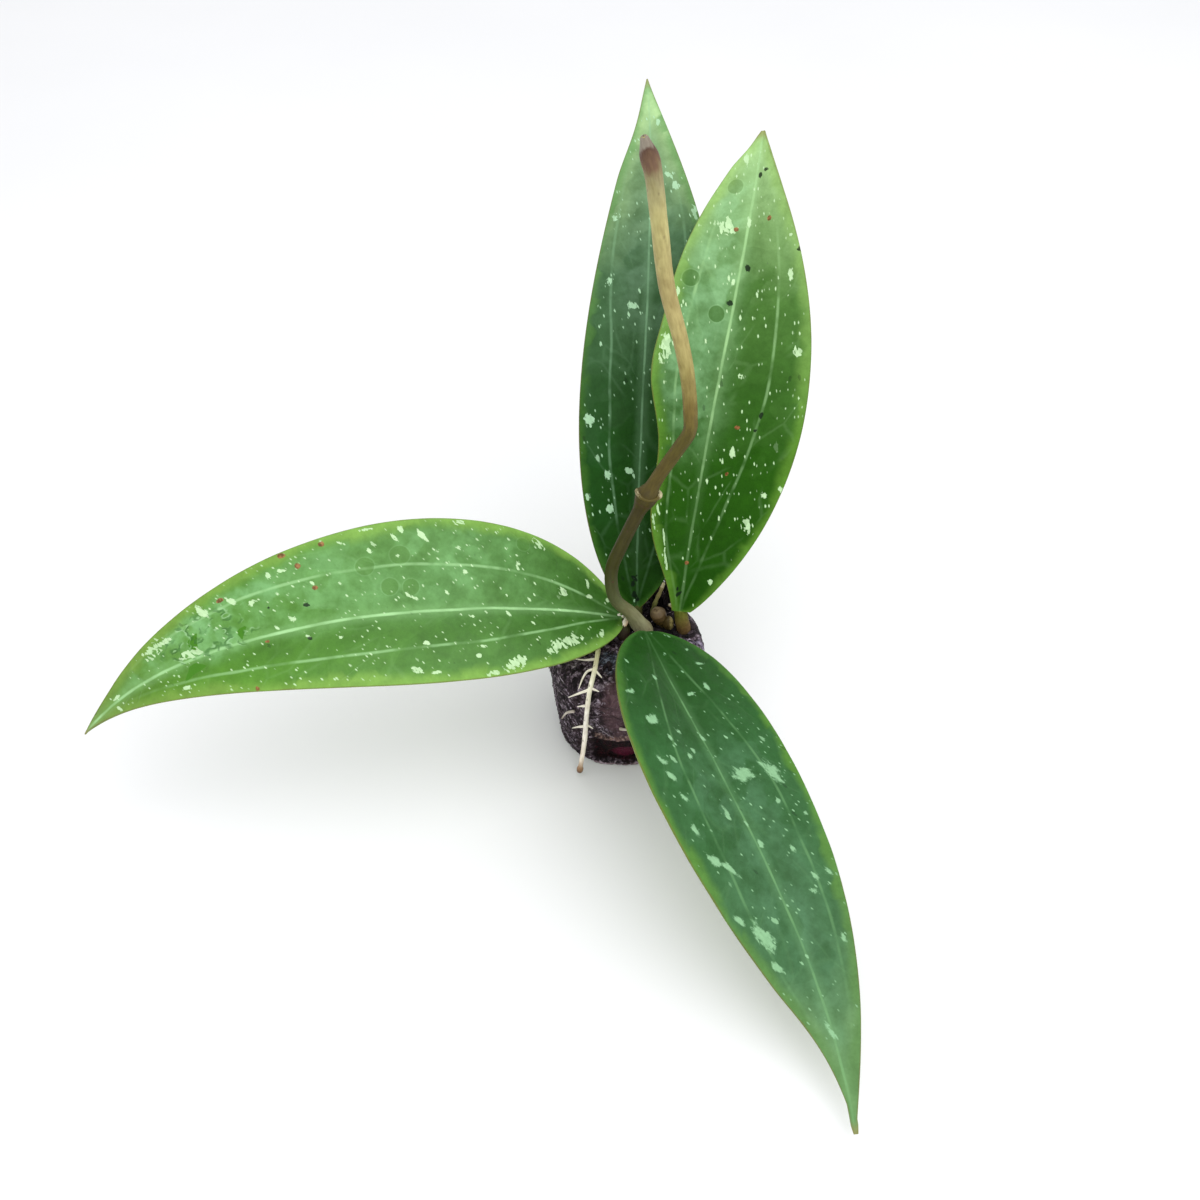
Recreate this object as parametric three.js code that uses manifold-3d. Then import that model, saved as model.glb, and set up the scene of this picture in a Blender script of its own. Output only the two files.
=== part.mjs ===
// A rooted hoya cutting: four long leaves and one bare vine that grow out of a tapered round
// plug of dark rooting medium, with one main root hanging down the front of the plug.
// Units are millimetres and Z is up. The plug stands on the plane z = 0 and is centred on the
// Z axis. -Y is the front.

import * as THREE from 'three';
import { mergeVertices } from 'three/addons/utils/BufferGeometryUtils.js';
import Module from 'manifold-3d';

const wasm = await Module();
wasm.setup();

// Driving dimensions
const PLUG_HEIGHT = 36;
const PLUG_WIDEST_RADIUS = 20.8;
const PLUG_TOP_FLAT_RADIUS = 16.4;
const PLUG_FOOT_RADIUS = 16.3;
const PLUG_LUMP = 0.35;
const PLUG_LEAN = { x: -1.3, y: 1.2 };
const PLUG_SIDES = 40;

const SEAT_GAP = 0.3;
const SUNK_DEPTH = 3;

const VINE_RADIUS = 1.65;
const VINE_FOOT_RADIUS = 1.9;
const VINE_TIP_RADIUS = 1.8;
const BUD_RADIUS = 1.95;
const NODE_RADIUS = 2.3;

const BLADE_MARGIN = 0.7;
const BLADE_MIDDLE = 1.2;
const MIDRIB_RISE = 0.4;
const SIDE_VEIN_RISE = 0.25;
const KEEL_DEPTH = 0.9;
const PETIOLE_RADIUS = 1.7;

const MAIN_ROOT_RADIUS = 0.75;
const SIDE_ROOT_RADIUS = 0.42;

const DEGREE = Math.PI / 180;
const UP = new THREE.Vector3(0, 0, 1);

// Small helpers

const vec = (x, y, z) => new THREE.Vector3(x, y, z);

/** A repeatable stream of numbers from 0 to 1. */
function seededRandom(seed) {
  let state = seed;
  return () => {
    state = (state * 1664525 + 1013904223) % 4294967296;
    return state / 4294967296;
  };
}

/** 0 below `from`, 1 above `to`, and an even curve between them. */
function smoothStep(from, to, value) {
  const t = THREE.MathUtils.clamp((value - from) / (to - from), 0, 1);
  return t * t * (3 - 2 * t);
}

/** The curve through a value at the base, the middle and the tip of a leaf. */
function along([base, middle, tip], s) {
  return base * (1 - s) * (1 - 2 * s) + 4 * middle * s * (1 - s) + tip * s * (2 * s - 1);
}

/** A closed geometry as a solid that can be joined and cut. */
function solidOf(geometry) {
  const bare = geometry.clone();
  bare.deleteAttribute('normal');
  bare.deleteAttribute('uv');
  const merged = mergeVertices(bare, 1e-4);
  return new wasm.Manifold(new wasm.Mesh({
    numProp: 3,
    vertProperties: new Float32Array(merged.attributes.position.array),
    triVerts: new Uint32Array(merged.index.array),
  }));
}

/** The triangles of a joined or cut solid. */
function geometryOf(solid) {
  const mesh = solid.getMesh();
  const geometry = new THREE.BufferGeometry();
  geometry.setAttribute('position', new THREE.BufferAttribute(new Float32Array(mesh.vertProperties), 3));
  geometry.setIndex(new THREE.BufferAttribute(new Uint32Array(mesh.triVerts), 1));
  geometry.computeVertexNormals();
  return geometry;
}

/** One geometry made of several that overlap. */
function joined(...geometries) {
  return geometryOf(geometries.map(solidOf).reduce((whole, piece) => whole.add(piece)));
}

/** A closed skin over rings of equal point counts, with flat ends. */
function skinOver(rings) {
  const count = rings[0].length;
  const positions = rings.flat().flatMap((p) => [p.x, p.y, p.z]);
  const index = [];
  for (let ring = 0; ring + 1 < rings.length; ring += 1) {
    for (let k = 0; k < count; k += 1) {
      const a = ring * count + k;
      const b = ring * count + (k + 1) % count;
      index.push(a, b, b + count, a, b + count, a + count);
    }
  }
  const flat = (ring) => ring.map((p) => new THREE.Vector2(p.x, p.y));
  const lastStart = (rings.length - 1) * count;
  for (const [a, b, c] of THREE.ShapeUtils.triangulateShape(flat(rings[0]), [])) {
    index.push(a, c, b);
  }
  for (const [a, b, c] of THREE.ShapeUtils.triangulateShape(flat(rings.at(-1)), [])) {
    index.push(lastStart + a, lastStart + b, lastStart + c);
  }
  const geometry = new THREE.BufferGeometry();
  geometry.setAttribute('position', new THREE.Float32BufferAttribute(positions, 3));
  geometry.setIndex(index);
  return geometry;
}

/** A round rod along a smooth path. Its radius changes with `radiusAt`, from 0 to 1 of its length. */
function rod(points, radiusAt, { sides = 8, steps = 16 } = {}) {
  const path = new THREE.CatmullRomCurve3(points, false, 'centripetal');
  const circle = new THREE.Shape(Array.from({ length: sides }, (_, k) => {
    const turn = 2 * Math.PI * k / sides;
    return new THREE.Vector2(Math.cos(turn), Math.sin(turn));
  }));
  const geometry = new THREE.ExtrudeGeometry(circle, {
    steps,
    extrudePath: path,
    bevelEnabled: false,
    curveSegments: 1,
  });
  const stations = path.getSpacedPoints(steps);
  const position = geometry.attributes.position;
  const point = new THREE.Vector3();
  for (let k = 0; k < position.count; k += 1) {
    point.fromBufferAttribute(position, k);
    let nearest = 0;
    stations.forEach((station, i) => {
      if (station.distanceToSquared(point) < stations[nearest].distanceToSquared(point)) {
        nearest = i;
      }
    });
    const middle = stations[nearest];
    point.sub(middle).multiplyScalar(radiusAt(nearest / steps)).add(middle);
    position.setXYZ(k, point.x, point.y, point.z);
  }
  return geometry;
}

function ball(centre, radius, { stretch = vec(1, 1, 1), sides = 10 } = {}) {
  const geometry = new THREE.SphereGeometry(radius, sides, Math.round(sides * 0.6));
  geometry.scale(stretch.x, stretch.y, stretch.z);
  geometry.translate(centre.x, centre.y, centre.z);
  return geometry;
}

const group = new THREE.Group();

function addPiece(name, geometry, colour, roughness) {
  const material = new THREE.MeshStandardMaterial({ color: colour, roughness, metalness: 0 });
  const mesh = new THREE.Mesh(geometry, material);
  mesh.name = name;
  group.add(mesh);
}

// Where each stem or petiole stands in the plug: its place and the radius of its sunk foot
const FEET = {
  main_vine: { x: 5.9, y: 2.9, radius: VINE_FOOT_RADIUS },
  cut_stub: { x: 10.2, y: 5.4, radius: 1.8 },
  dry_tendril: { x: 7.2, y: 8.8, radius: 0.7 },
  leaf_left: { x: -0.7, y: 0.6, radius: 1.6 },
  leaf_front: { x: 3.9, y: -3.9, radius: 1.6 },
  leaf_back_left: { x: 2.9, y: 6.6, radius: 1.5 },
  leaf_back_right: { x: 15.2, y: 2.9, radius: 1.7 },
};

const footBottom = (name) => vec(FEET[name].x, FEET[name].y, PLUG_HEIGHT - SUNK_DEPTH);
const footTop = (name, rise = 0.6) => vec(FEET[name].x, FEET[name].y, PLUG_HEIGHT + rise);

// The plug: a tapered tub of matted fibre with a hollow low on its front

/** Low waves round the plug, between about -1 and 1. */
const plugWaves = (() => {
  const random = seededRandom(7);
  const waves = [2, 3, 5, 7, 9, 12].map((turns) => ({
    turns,
    phase: 2 * Math.PI * random(),
    lean: 0.12 * (random() - 0.5),
    size: 1 / Math.sqrt(turns),
  }));
  return (angle, z) => waves.reduce(
    (sum, wave) => sum + wave.size * Math.sin(wave.turns * angle + wave.phase + wave.lean * z * wave.turns),
    0,
  ) / 1.4;
})();

/** The plug leans a little to the back left as it goes down: its middle at height `z`. */
function plugMiddle(z) {
  const share = 1 - Math.min(z, PLUG_HEIGHT) / PLUG_HEIGHT;
  return vec(PLUG_LEAN.x * share, PLUG_LEAN.y * share, z);
}

/** The place at `radius` from the plug's middle, in one direction and at one height. */
function roundPlug(angle, radius, z) {
  return plugMiddle(z).add(vec(radius * Math.cos(angle), radius * Math.sin(angle), 0));
}

// The hollow low on the plug's front, under a ragged edge and over a thin rim
const HOLLOW = { from: -126, to: -44, soft: 14, depth: 2, bottom: 1.7, top: 13 };
const SHOULDER_START = 31;

/** How much of the hollow's depth a direction has, from 0 to 1. */
function hollowShare(angle) {
  const degrees = Math.atan2(Math.sin(angle), Math.cos(angle)) / DEGREE;
  return smoothStep(HOLLOW.from, HOLLOW.from + HOLLOW.soft, degrees)
    * smoothStep(HOLLOW.to, HOLLOW.to - HOLLOW.soft, degrees);
}

const hollowTop = (angle) => HOLLOW.top + 0.9 * plugWaves(angle + 1, 9);

/** The plug's radius in one direction at one height, without the rounded shoulder. */
function plugRadius(angle, z) {
  const lumps = PLUG_LUMP * plugWaves(angle, z);
  const taper = THREE.MathUtils.mapLinear(z, 0, SHOULDER_START, PLUG_FOOT_RADIUS, PLUG_WIDEST_RADIUS);
  const edge = hollowTop(angle);
  const inHollow = smoothStep(HOLLOW.bottom, HOLLOW.bottom + 0.8, z) * smoothStep(edge + 0.5, edge - 0.5, z);
  return taper + lumps - HOLLOW.depth * hollowShare(angle) * inHollow;
}

function plugGeometry() {
  const shoulder = [
    { z: SHOULDER_START, inset: 0 },
    { z: 33.4, inset: 0.35 },
    { z: 35, inset: 1.4 },
    { z: 35.75, inset: 2.7 },
    { z: PLUG_HEIGHT, inset: PLUG_WIDEST_RADIUS - PLUG_TOP_FLAT_RADIUS },
  ];
  const ringAt = (heightAt, inset = 0) => Array.from({ length: PLUG_SIDES }, (_, k) => {
    const angle = 2 * Math.PI * (k + 0.37) / PLUG_SIDES;
    const z = heightAt(angle);
    return roundPlug(angle, plugRadius(angle, Math.min(z, SHOULDER_START)) - inset, z);
  });
  const rings = [
    ringAt(() => 0, 0.4),
    ringAt(() => 0.7),
    ringAt(() => HOLLOW.bottom),
    ringAt(() => HOLLOW.bottom + 0.9),
    ringAt(() => 7),
    ringAt((angle) => hollowTop(angle) - 0.6),
    ringAt((angle) => hollowTop(angle) + 0.6),
    ringAt(() => 18),
    ringAt(() => 22.5),
    ringAt(() => 27),
    ...shoulder.map(({ z, inset }) => ringAt(() => z, inset)),
  ];
  let plug = solidOf(skinOver(rings));
  for (const { x, y, radius } of Object.values(FEET)) {
    const height = SUNK_DEPTH + SEAT_GAP + 2;
    const hole = new THREE.CylinderGeometry(radius + SEAT_GAP, radius + SEAT_GAP, height, 14);
    hole.rotateX(Math.PI / 2);
    hole.translate(x, y, PLUG_HEIGHT + 2 - height / 2);
    plug = plug.subtract(solidOf(hole));
  }
  return geometryOf(plug);
}

addPiece('plug', plugGeometry(), 0x3a2a33, 0.9);

// The main vine, bare of leaves, with the ring of one old leaf pair and a growing tip

const NODE_PLACE = vec(4.6, 4.5, 80.9);

function vineGeometry() {
  const route = [
    footBottom('main_vine'),
    footTop('main_vine', 0.3),
    vec(4, 2, 38.9),
    vec(1, 0.6, 44.5),
    vec(-2.7, 0, 49.6),
    vec(-3.9, 0, 54.7),
    vec(-3.8, 0.5, 60.8),
    vec(-1.6, 1.5, 67),
    vec(1.7, 3, 74.7),
    NODE_PLACE,
    vec(7.1, 5.5, 85.8),
    vec(11.4, 6.5, 93),
    vec(13.8, 7, 97.6),
    vec(13.8, 7.5, 102),
    vec(12.7, 8.5, 111.6),
    vec(10.7, 9.5, 120.8),
    vec(7.3, 10.5, 133.1),
    vec(5.1, 10.5, 148.3),
    vec(3.5, 10, 159),
    vec(2.5, 9.8, 162.6),
    vec(1.5, 9.5, 166.2),
  ];
  const path = new THREE.CatmullRomCurve3(route, false, 'centripetal');
  const radiusAt = (t) => {
    const lower = THREE.MathUtils.lerp(VINE_FOOT_RADIUS, VINE_RADIUS, smoothStep(0, 0.12, t));
    const upper = (VINE_TIP_RADIUS - VINE_RADIUS) * smoothStep(0.55, 0.85, t);
    const bud = (BUD_RADIUS - VINE_TIP_RADIUS) * smoothStep(0.93, 0.96, t);
    const end = 1.1 * smoothStep(0.965, 1, t);
    return lower + upper + bud - end;
  };
  const vine = rod(route, radiusAt, { sides: 10, steps: 56 });

  const up = path.getTangentAt(nearestShare(path, NODE_PLACE));
  const side = new THREE.Vector3().crossVectors(vec(0, -1, 0), up).normalize();
  const ringPath = [-1.7, -0.6, 0.6, 1.5].map((d) => NODE_PLACE.clone().addScaledVector(up, d));
  const ringRadius = (t) => VINE_RADIUS - 0.1 + (NODE_RADIUS - VINE_RADIUS + 0.1) * Math.sin(Math.PI * t) ** 0.6;
  const ring = rod(ringPath, ringRadius, { sides: 10, steps: 6 });
  const scars = [-1, 1].map((hand) => ball(
    NODE_PLACE.clone().addScaledVector(side, hand * (NODE_RADIUS - 0.15)).addScaledVector(up, 0.2),
    1.1,
    { stretch: vec(0.85, 0.85, 1.15), sides: 8 },
  ));
  return joined(vine, ring, ...scars);
}

/** How far along a path, from 0 to 1, its nearest point to `place` lies. */
function nearestShare(path, place) {
  const shares = Array.from({ length: 401 }, (_, k) => k / 400);
  return shares.reduce((best, share) => (
    path.getPointAt(share).distanceTo(place) < path.getPointAt(best).distanceTo(place) ? share : best
  ));
}

addPiece('main_vine', vineGeometry(), 0x7d6a42, 0.6);

// A short cut stub beside the vine, with a bud on its right side

function stubGeometry() {
  const stub = rod([
    footBottom('cut_stub'),
    footTop('cut_stub', 0.3),
    vec(9.6, 5.2, 39.2),
    vec(9.1, 5, 41.6),
    vec(8.9, 4.9, 43),
  ], (t) => FEET.cut_stub.radius + 0.4 * smoothStep(0.45, 0.8, t) - 0.6 * smoothStep(0.9, 1, t), {
    sides: 10,
    steps: 12,
  });
  const scar = rod([vec(8.95, 4.9, 42.6), vec(8.8, 4.8, 43.5)], () => 0.8, { sides: 8, steps: 1 });
  const bud = ball(vec(12, 4.6, 38.4), 1.5, { stretch: vec(1, 0.95, 1.25) });
  return joined(stub, scar, bud);
}

addPiece('cut_stub', stubGeometry(), 0x8a6a45, 0.7);

// A thin dry tendril that stands behind the stub

function tendrilGeometry() {
  return rod([
    footBottom('dry_tendril'),
    footTop('dry_tendril', 0.3),
    vec(7.9, 9, 40),
    vec(9, 9.1, 43.6),
    vec(9.9, 9.2, 47),
  ], (t) => 0.7 - 0.25 * t, { sides: 6, steps: 9 });
}

addPiece('dry_tendril', tendrilGeometry(), 0x9a8b58, 0.7);

// Leaves: each blade follows a curved midrib and narrows to both ends

/**
 * The shape of one leaf. `heading` turns from +Y towards +X, `pitch` is the climb of the midrib
 * and `roll` turns the blade about it, each at the base, the middle and the tip, in degrees.
 * `right` and `left` are the two halves of the blade seen from its base: the widest half width,
 * how far along it lies, and how full the base is.
 */
class LeafForm {
  constructor(spec) {
    Object.assign(this, spec);
    this.samples = 240;
    this.midrib = [spec.base.clone()];
    for (let k = 0; k < this.samples; k += 1) {
      const step = this.direction((k + 0.5) / this.samples).multiplyScalar(this.length / this.samples);
      this.midrib.push(this.midrib[k].clone().add(step));
    }
  }

  direction(s) {
    const heading = along(this.heading, s) * DEGREE;
    const pitch = along(this.pitch, s) * DEGREE;
    return vec(
      Math.cos(pitch) * Math.sin(heading),
      Math.cos(pitch) * Math.cos(heading),
      Math.sin(pitch),
    );
  }

  /** The midrib's point at `s`, with the way across the blade and the way out of its upper face. */
  frame(s) {
    const place = s * this.samples;
    const below = Math.min(Math.floor(place), this.samples - 1);
    const point = this.midrib[below].clone().lerp(this.midrib[below + 1], place - below);
    const direction = this.direction(s);
    const level = new THREE.Vector3().crossVectors(direction, UP).normalize();
    const raised = new THREE.Vector3().crossVectors(level, direction);
    const roll = along(this.roll, s) * DEGREE;
    const across = level.clone().multiplyScalar(Math.cos(roll)).addScaledVector(raised, Math.sin(roll));
    const out = level.multiplyScalar(-Math.sin(roll)).addScaledVector(raised, Math.cos(roll));
    return { point, across, out, direction };
  }

  /** The waves of a rippled margin at `s`, from -1 to 1. */
  ripple(s) {
    const { size, from, length } = this.margin_wave;
    const fade = Math.exp(-(((s - 0.25) / 0.28) ** 4));
    return size * Math.sin(2 * Math.PI * (s - from) / length) * fade;
  }

  halfWidth(s, hand) {
    const { width, widestAt, fullness } = hand > 0 ? this.right : this.left;
    const tipFullness = fullness * (1 - widestAt) / widestAt;
    const outline = (s / widestAt) ** fullness * ((1 - s) / (1 - widestAt)) ** tipFullness;
    const waved = hand < 0 && this.margin_wave ? 1 + this.ripple(s) : 1;
    return Math.max(width * outline * waved, 0.5);
  }
}

const BLADE_ROWS = 24;
const BLADE_COLUMNS = [0, 0.055, 0.2, 0.4, 0.47, 0.54, 0.78, 1];
const CROWN = 0.035;

/** How far a place on the blade's upper face stands over the midrib's line. */
function upperRise(leaf, s, v, halfWidth) {
  const across = Math.abs(v);
  const lift = leaf.cup * halfWidth * across ** 1.4;
  const midrib = across === 0 ? MIDRIB_RISE * Math.min(1, 1.6 * (1 - s) ** 0.6) : 0;
  const onSideVein = across === 0.47 ? SIDE_VEIN_RISE : 0;
  const sideVein = onSideVein * smoothStep(0, 0.12, s) * smoothStep(1, 0.6, s);
  const crown = CROWN * halfWidth * Math.sin(Math.PI * Math.min(1, across / 0.94)) ** 2;
  const curl = v < 0 && leaf.margin_wave ? 6 * leaf.ripple(s) * across ** 3 : 0;
  return lift + midrib + sideVein + crown + curl;
}

function bladeThickness(s, v, halfWidth) {
  const across = Math.abs(v);
  const fade = smoothStep(1.02, 0.75, s);
  const body = BLADE_MARGIN + (BLADE_MIDDLE - BLADE_MARGIN) * (1 - across ** 1.5) * (0.3 + 0.7 * fade);
  const keel = across === 0 ? KEEL_DEPTH * (1 - s) ** 0.7 : 0;
  return body + keel;
}

/** A blade with the same rows and columns of points on both faces, split into triangles alike. */
function bladeGeometry(leaf) {
  const columns = [...BLADE_COLUMNS.slice(1).reverse().map((v) => -v), ...BLADE_COLUMNS];
  const first = 0.004;
  const last = 0.996;
  const positions = [];
  for (let row = 0; row < BLADE_ROWS; row += 1) {
    const even = row / (BLADE_ROWS - 1);
    const bunched = 0.5 - 0.5 * Math.cos(Math.PI * even);
    const s = first + (last - first) * (0.45 * even + 0.55 * bunched);
    const { point, across, out } = leaf.frame(s);
    for (const v of columns) {
      const halfWidth = leaf.halfWidth(s, v);
      const rise = upperRise(leaf, s, v, halfWidth);
      const upper = point.clone().addScaledVector(across, v * halfWidth).addScaledVector(out, rise);
      const lower = upper.clone().addScaledVector(out, -bladeThickness(s, v, halfWidth));
      positions.push(upper, lower);
    }
  }
  const upperAt = (row, column) => 2 * (row * columns.length + column);
  const index = [];
  const quad = (a, b, c, d) => index.push(a, b, c, a, c, d);
  const lastColumn = columns.length - 1;
  for (let row = 0; row + 1 < BLADE_ROWS; row += 1) {
    for (let column = 0; column < lastColumn; column += 1) {
      const [a, b] = [upperAt(row, column), upperAt(row, column + 1)];
      const [d, c] = [upperAt(row + 1, column), upperAt(row + 1, column + 1)];
      quad(a, b, c, d);
      index.push(a + 1, c + 1, b + 1, a + 1, d + 1, c + 1);
    }
    const [left, leftNext] = [upperAt(row, 0), upperAt(row + 1, 0)];
    quad(left, leftNext, leftNext + 1, left + 1);
    const [right, rightNext] = [upperAt(row, lastColumn), upperAt(row + 1, lastColumn)];
    quad(right, right + 1, rightNext + 1, rightNext);
  }
  for (let column = 0; column < lastColumn; column += 1) {
    const [a, b] = [upperAt(0, column), upperAt(0, column + 1)];
    quad(a, a + 1, b + 1, b);
    const [c, d] = [upperAt(BLADE_ROWS - 1, column), upperAt(BLADE_ROWS - 1, column + 1)];
    quad(c, d, d + 1, c + 1);
  }
  const geometry = new THREE.BufferGeometry();
  geometry.setAttribute('position', new THREE.Float32BufferAttribute(
    positions.flatMap((p) => [p.x, p.y, p.z]),
    3,
  ));
  geometry.setIndex(index);
  return geometry;
}

/** The leaf's stalk, from its hole in the plug up into the underside of the midrib. */
function petioleGeometry(name, leaf, knee) {
  const inBlade = [0.012, 0.03, 0.055].map((s) => {
    const { point, out } = leaf.frame(s);
    return point.addScaledVector(out, -PETIOLE_RADIUS * (1 - 8 * s) + 0.2);
  });
  const foot = FEET[name].radius;
  return rod(
    [footBottom(name), footTop(name), ...knee, ...inBlade],
    (t) => THREE.MathUtils.lerp(foot, PETIOLE_RADIUS, smoothStep(0.2, 0.5, t)) - 0.75 * smoothStep(0.6, 1, t),
    { sides: 10, steps: 18 },
  );
}

const LEAVES = {
  leaf_left: {
    base: vec(-0.5, 3.5, 39.5),
    length: 154,
    heading: [-110, -102, -92],
    pitch: [31, -3, -51],
    roll: [16, 33, 28],
    right: { width: 22.5, widestAt: 0.33, fullness: 0.6 },
    left: { width: 19, widestAt: 0.32, fullness: 0.65 },
    cup: 0.12,
    knee: [vec(-0.6, 1.8, 38)],
    colour: 0x4f8a3c,
  },
  leaf_front: {
    base: vec(4.5, -6, 45),
    length: 127,
    heading: [162, 154, 173],
    pitch: [-1, -22, -28],
    roll: [24, 15, -25],
    right: { width: 22.5, widestAt: 0.32, fullness: 0.71 },
    left: { width: 21.5, widestAt: 0.29, fullness: 0.49 },
    cup: 0.1,
    knee: [vec(4, -4, 40)],
    colour: 0x3b6b3a,
  },
  leaf_back_left: {
    base: vec(3, 7.5, 38.5),
    length: 138.5,
    heading: [-2, 4, -5],
    pitch: [67, 48, 40],
    roll: [-1, -1, 0],
    right: { width: 20, widestAt: 0.41, fullness: 0.85 },
    left: { width: 16, widestAt: 0.39, fullness: 0.61 },
    cup: 0.12,
    knee: [],
    colour: 0x35613d,
  },
  leaf_back_right: {
    base: vec(14, 3, 42),
    length: 123,
    heading: [15, 17, 11],
    pitch: [72, 52, 43],
    roll: [-13, -19, 38],
    right: { width: 22.5, widestAt: 0.43, fullness: 0.82 },
    left: { width: 16.5, widestAt: 0.55, fullness: 0.93 },
    cup: 0.14,
    margin_wave: { size: 0.15, from: 0.08, length: 0.36 },
    knee: [vec(14.7, 2.9, 39)],
    colour: 0x4e8f2c,
  },
};

for (const [name, spec] of Object.entries(LEAVES)) {
  const leaf = new LeafForm(spec);
  const geometry = joined(bladeGeometry(leaf), petioleGeometry(name, leaf, spec.knee));
  addPiece(name, geometry, spec.colour, 0.4);
}

// Roots: one thick root crosses the plug's top and hangs down its front, with short side roots

/** A place just off the plug's side, where a root of `radius` lies. */
function besidePlug(angleDegrees, z, radius) {
  const angle = angleDegrees * DEGREE;
  return roundPlug(angle, plugRadius(angle, z) + radius + SEAT_GAP, z);
}

function mainRootGeometry() {
  const onTop = PLUG_HEIGHT + SEAT_GAP + MAIN_ROOT_RADIUS;
  const route = [
    vec(-7.2, -4.9, onTop),
    vec(-7.8, -9.8, onTop),
    vec(-8.5, -14.5, onTop),
    vec(-9.1, -17.1, onTop - 0.6),
    vec(-9.6, -18.8, 34.7),
    vec(-10, -19.7, 31),
    vec(-10.4, -19.7, 25.5),
    vec(-10.8, -19.3, 18),
    vec(-11.3, -18.9, 12),
    vec(-12, -18.5, 5.5),
    vec(-12.4, -18.3, 2),
  ];
  const radiusAt = (t) => MAIN_ROOT_RADIUS * (1 + 0.25 * smoothStep(0.93, 0.97, t));
  const root = rod(route, radiusAt, { sides: 7, steps: 30 });
  const low = onTop - 0.2;
  const branches = [
    [vec(-7.6, -8.6, low), vec(-10.7, -8.9, low), vec(-13.3, -8.5, low)],
    [vec(-8.1, -12.1, low), vec(-9.8, -12.6, low), vec(-11, -14.4, low - 0.2), vec(-12.3, -17.3, 35)],
    [vec(-8, -12.6, low), vec(-6.3, -15, low)],
    [vec(-9.4, -18, 35.8), vec(-12.2, -17.9, 34.2), vec(-15, -16.2, 30.6)],
    [vec(-9.2, -17.6, 36), vec(-7, -18.6, 35.7)],
    [vec(-10, -19.6, 31.4), vec(-12.7, -18.2, 29.4)],
    [vec(-10.5, -19.5, 24), vec(-8.6, -19.9, 22.6)],
    [vec(-10.5, -19.4, 23), vec(-12.6, -17.9, 20.8), vec(-14.2, -16.2, 18.2)],
  ].map((points) => rod(points, (t) => SIDE_ROOT_RADIUS * (1 - 0.4 * t), { sides: 5, steps: 5 }));
  return joined(root, ...branches);
}

addPiece('main_root', mainRootGeometry(), 0xe6dfc4, 0.6);

/** A short root that lies along the plug's side between two places. */
function sideRootGeometry(places) {
  const points = places.map(([angle, z]) => besidePlug(angle, z, SIDE_ROOT_RADIUS));
  return rod(points, (t) => SIDE_ROOT_RADIUS * (1 - 0.4 * t), { sides: 6, steps: 8 });
}

const SIDE_ROOTS = {
  side_root_left: [[-130, 24], [-140, 19.5], [-151, 12.5]],
  side_root_front: [[-94, 22.8], [-89, 22.3], [-83, 22.6]],
};

for (const [name, places] of Object.entries(SIDE_ROOTS)) {
  addPiece(name, sideRootGeometry(places), 0xcfc6ad, 0.7);
}

export default group;
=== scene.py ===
"""Looks of a rooted hoya cutting: four splashed leaves and a bare vine in a dark rooting plug.

The forms repeat the named values of the solid part, in millimetres, and are written to the
meshes in metres. Every piece rides on the one body of the part.
"""

import logging
import math
from collections.abc import Iterable
from dataclasses import dataclass
from enum import Enum

import bpy
import numpy as np
from mathutils import Euler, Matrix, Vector, noise


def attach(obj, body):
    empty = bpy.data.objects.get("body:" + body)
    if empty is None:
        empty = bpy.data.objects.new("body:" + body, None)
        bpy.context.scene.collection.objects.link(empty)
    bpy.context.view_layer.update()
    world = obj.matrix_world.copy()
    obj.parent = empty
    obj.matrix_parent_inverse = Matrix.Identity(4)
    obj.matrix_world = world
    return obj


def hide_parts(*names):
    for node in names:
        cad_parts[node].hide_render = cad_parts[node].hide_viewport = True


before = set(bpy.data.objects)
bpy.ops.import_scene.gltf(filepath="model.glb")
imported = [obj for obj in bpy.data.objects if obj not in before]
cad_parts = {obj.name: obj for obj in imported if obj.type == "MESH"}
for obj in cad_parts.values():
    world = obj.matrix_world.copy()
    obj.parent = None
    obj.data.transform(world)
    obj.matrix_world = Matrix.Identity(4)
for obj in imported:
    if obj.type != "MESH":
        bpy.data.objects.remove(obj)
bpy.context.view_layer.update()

LOG = logging.getLogger("hoya")
MM = 0.001
BODY = "root"
FULL_TURN = 2 * math.pi

# The plug's top, how deep stems stand in it, and the feet of vine, stub and tendril
PLUG_TOP = 36.0
SUNK = 3.0
STEM_FEET = ((5.9, 2.9, 1.9), (10.2, 5.4, 1.8), (7.2, 8.8, 0.7))

# Leaf stalks, with the places of their colours from blade to foot
PETIOLE_RADIUS = 1.7
STALK_STATIONS = 60
STALK_STOPS = (0.06, 0.16, 0.5, 0.95)

# Blades: how finely they are cut up, the side vein's column and the least half width
RIB_SAMPLES = 240
BLADE_ROWS = 290
BLADE_COLUMNS = 100
COLUMN_SAMPLES = 2001
VEIN_COLUMN = 0.47
THINNEST = 0.16

# Marks: the fall that gives a half at their rim, and the reading where no drop is
MARK_FALL = 0.693
FAR_FROM_DROPS = -9.0

Array = np.ndarray
Piece = bpy.types.Object
Material = bpy.types.Material
Point = tuple[float, float, float]
Triple = tuple[float, float, float]
Pair = tuple[float, float]
Knots = tuple[Pair, ...]
Stops = tuple[tuple[float, str], ...]
Colour = tuple[float, float, float, float]


# Small sums


def smooth_step(low: float, high: float, value: Array) -> Array:
    """Gives 0 below low, 1 above high, and an even curve between them."""
    t = np.clip((np.asarray(value, float) - low) / (high - low), 0, 1)
    return t * t * (3 - 2 * t)


def between(values: Triple, s: Array) -> Array:
    """Gives the curve through a value at the base, the middle and the tip of a leaf."""
    base, middle, tip = values
    return base * (1 - s) * (1 - 2 * s) + 4 * middle * s * (1 - s) + tip * s * (2 * s - 1)


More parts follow.
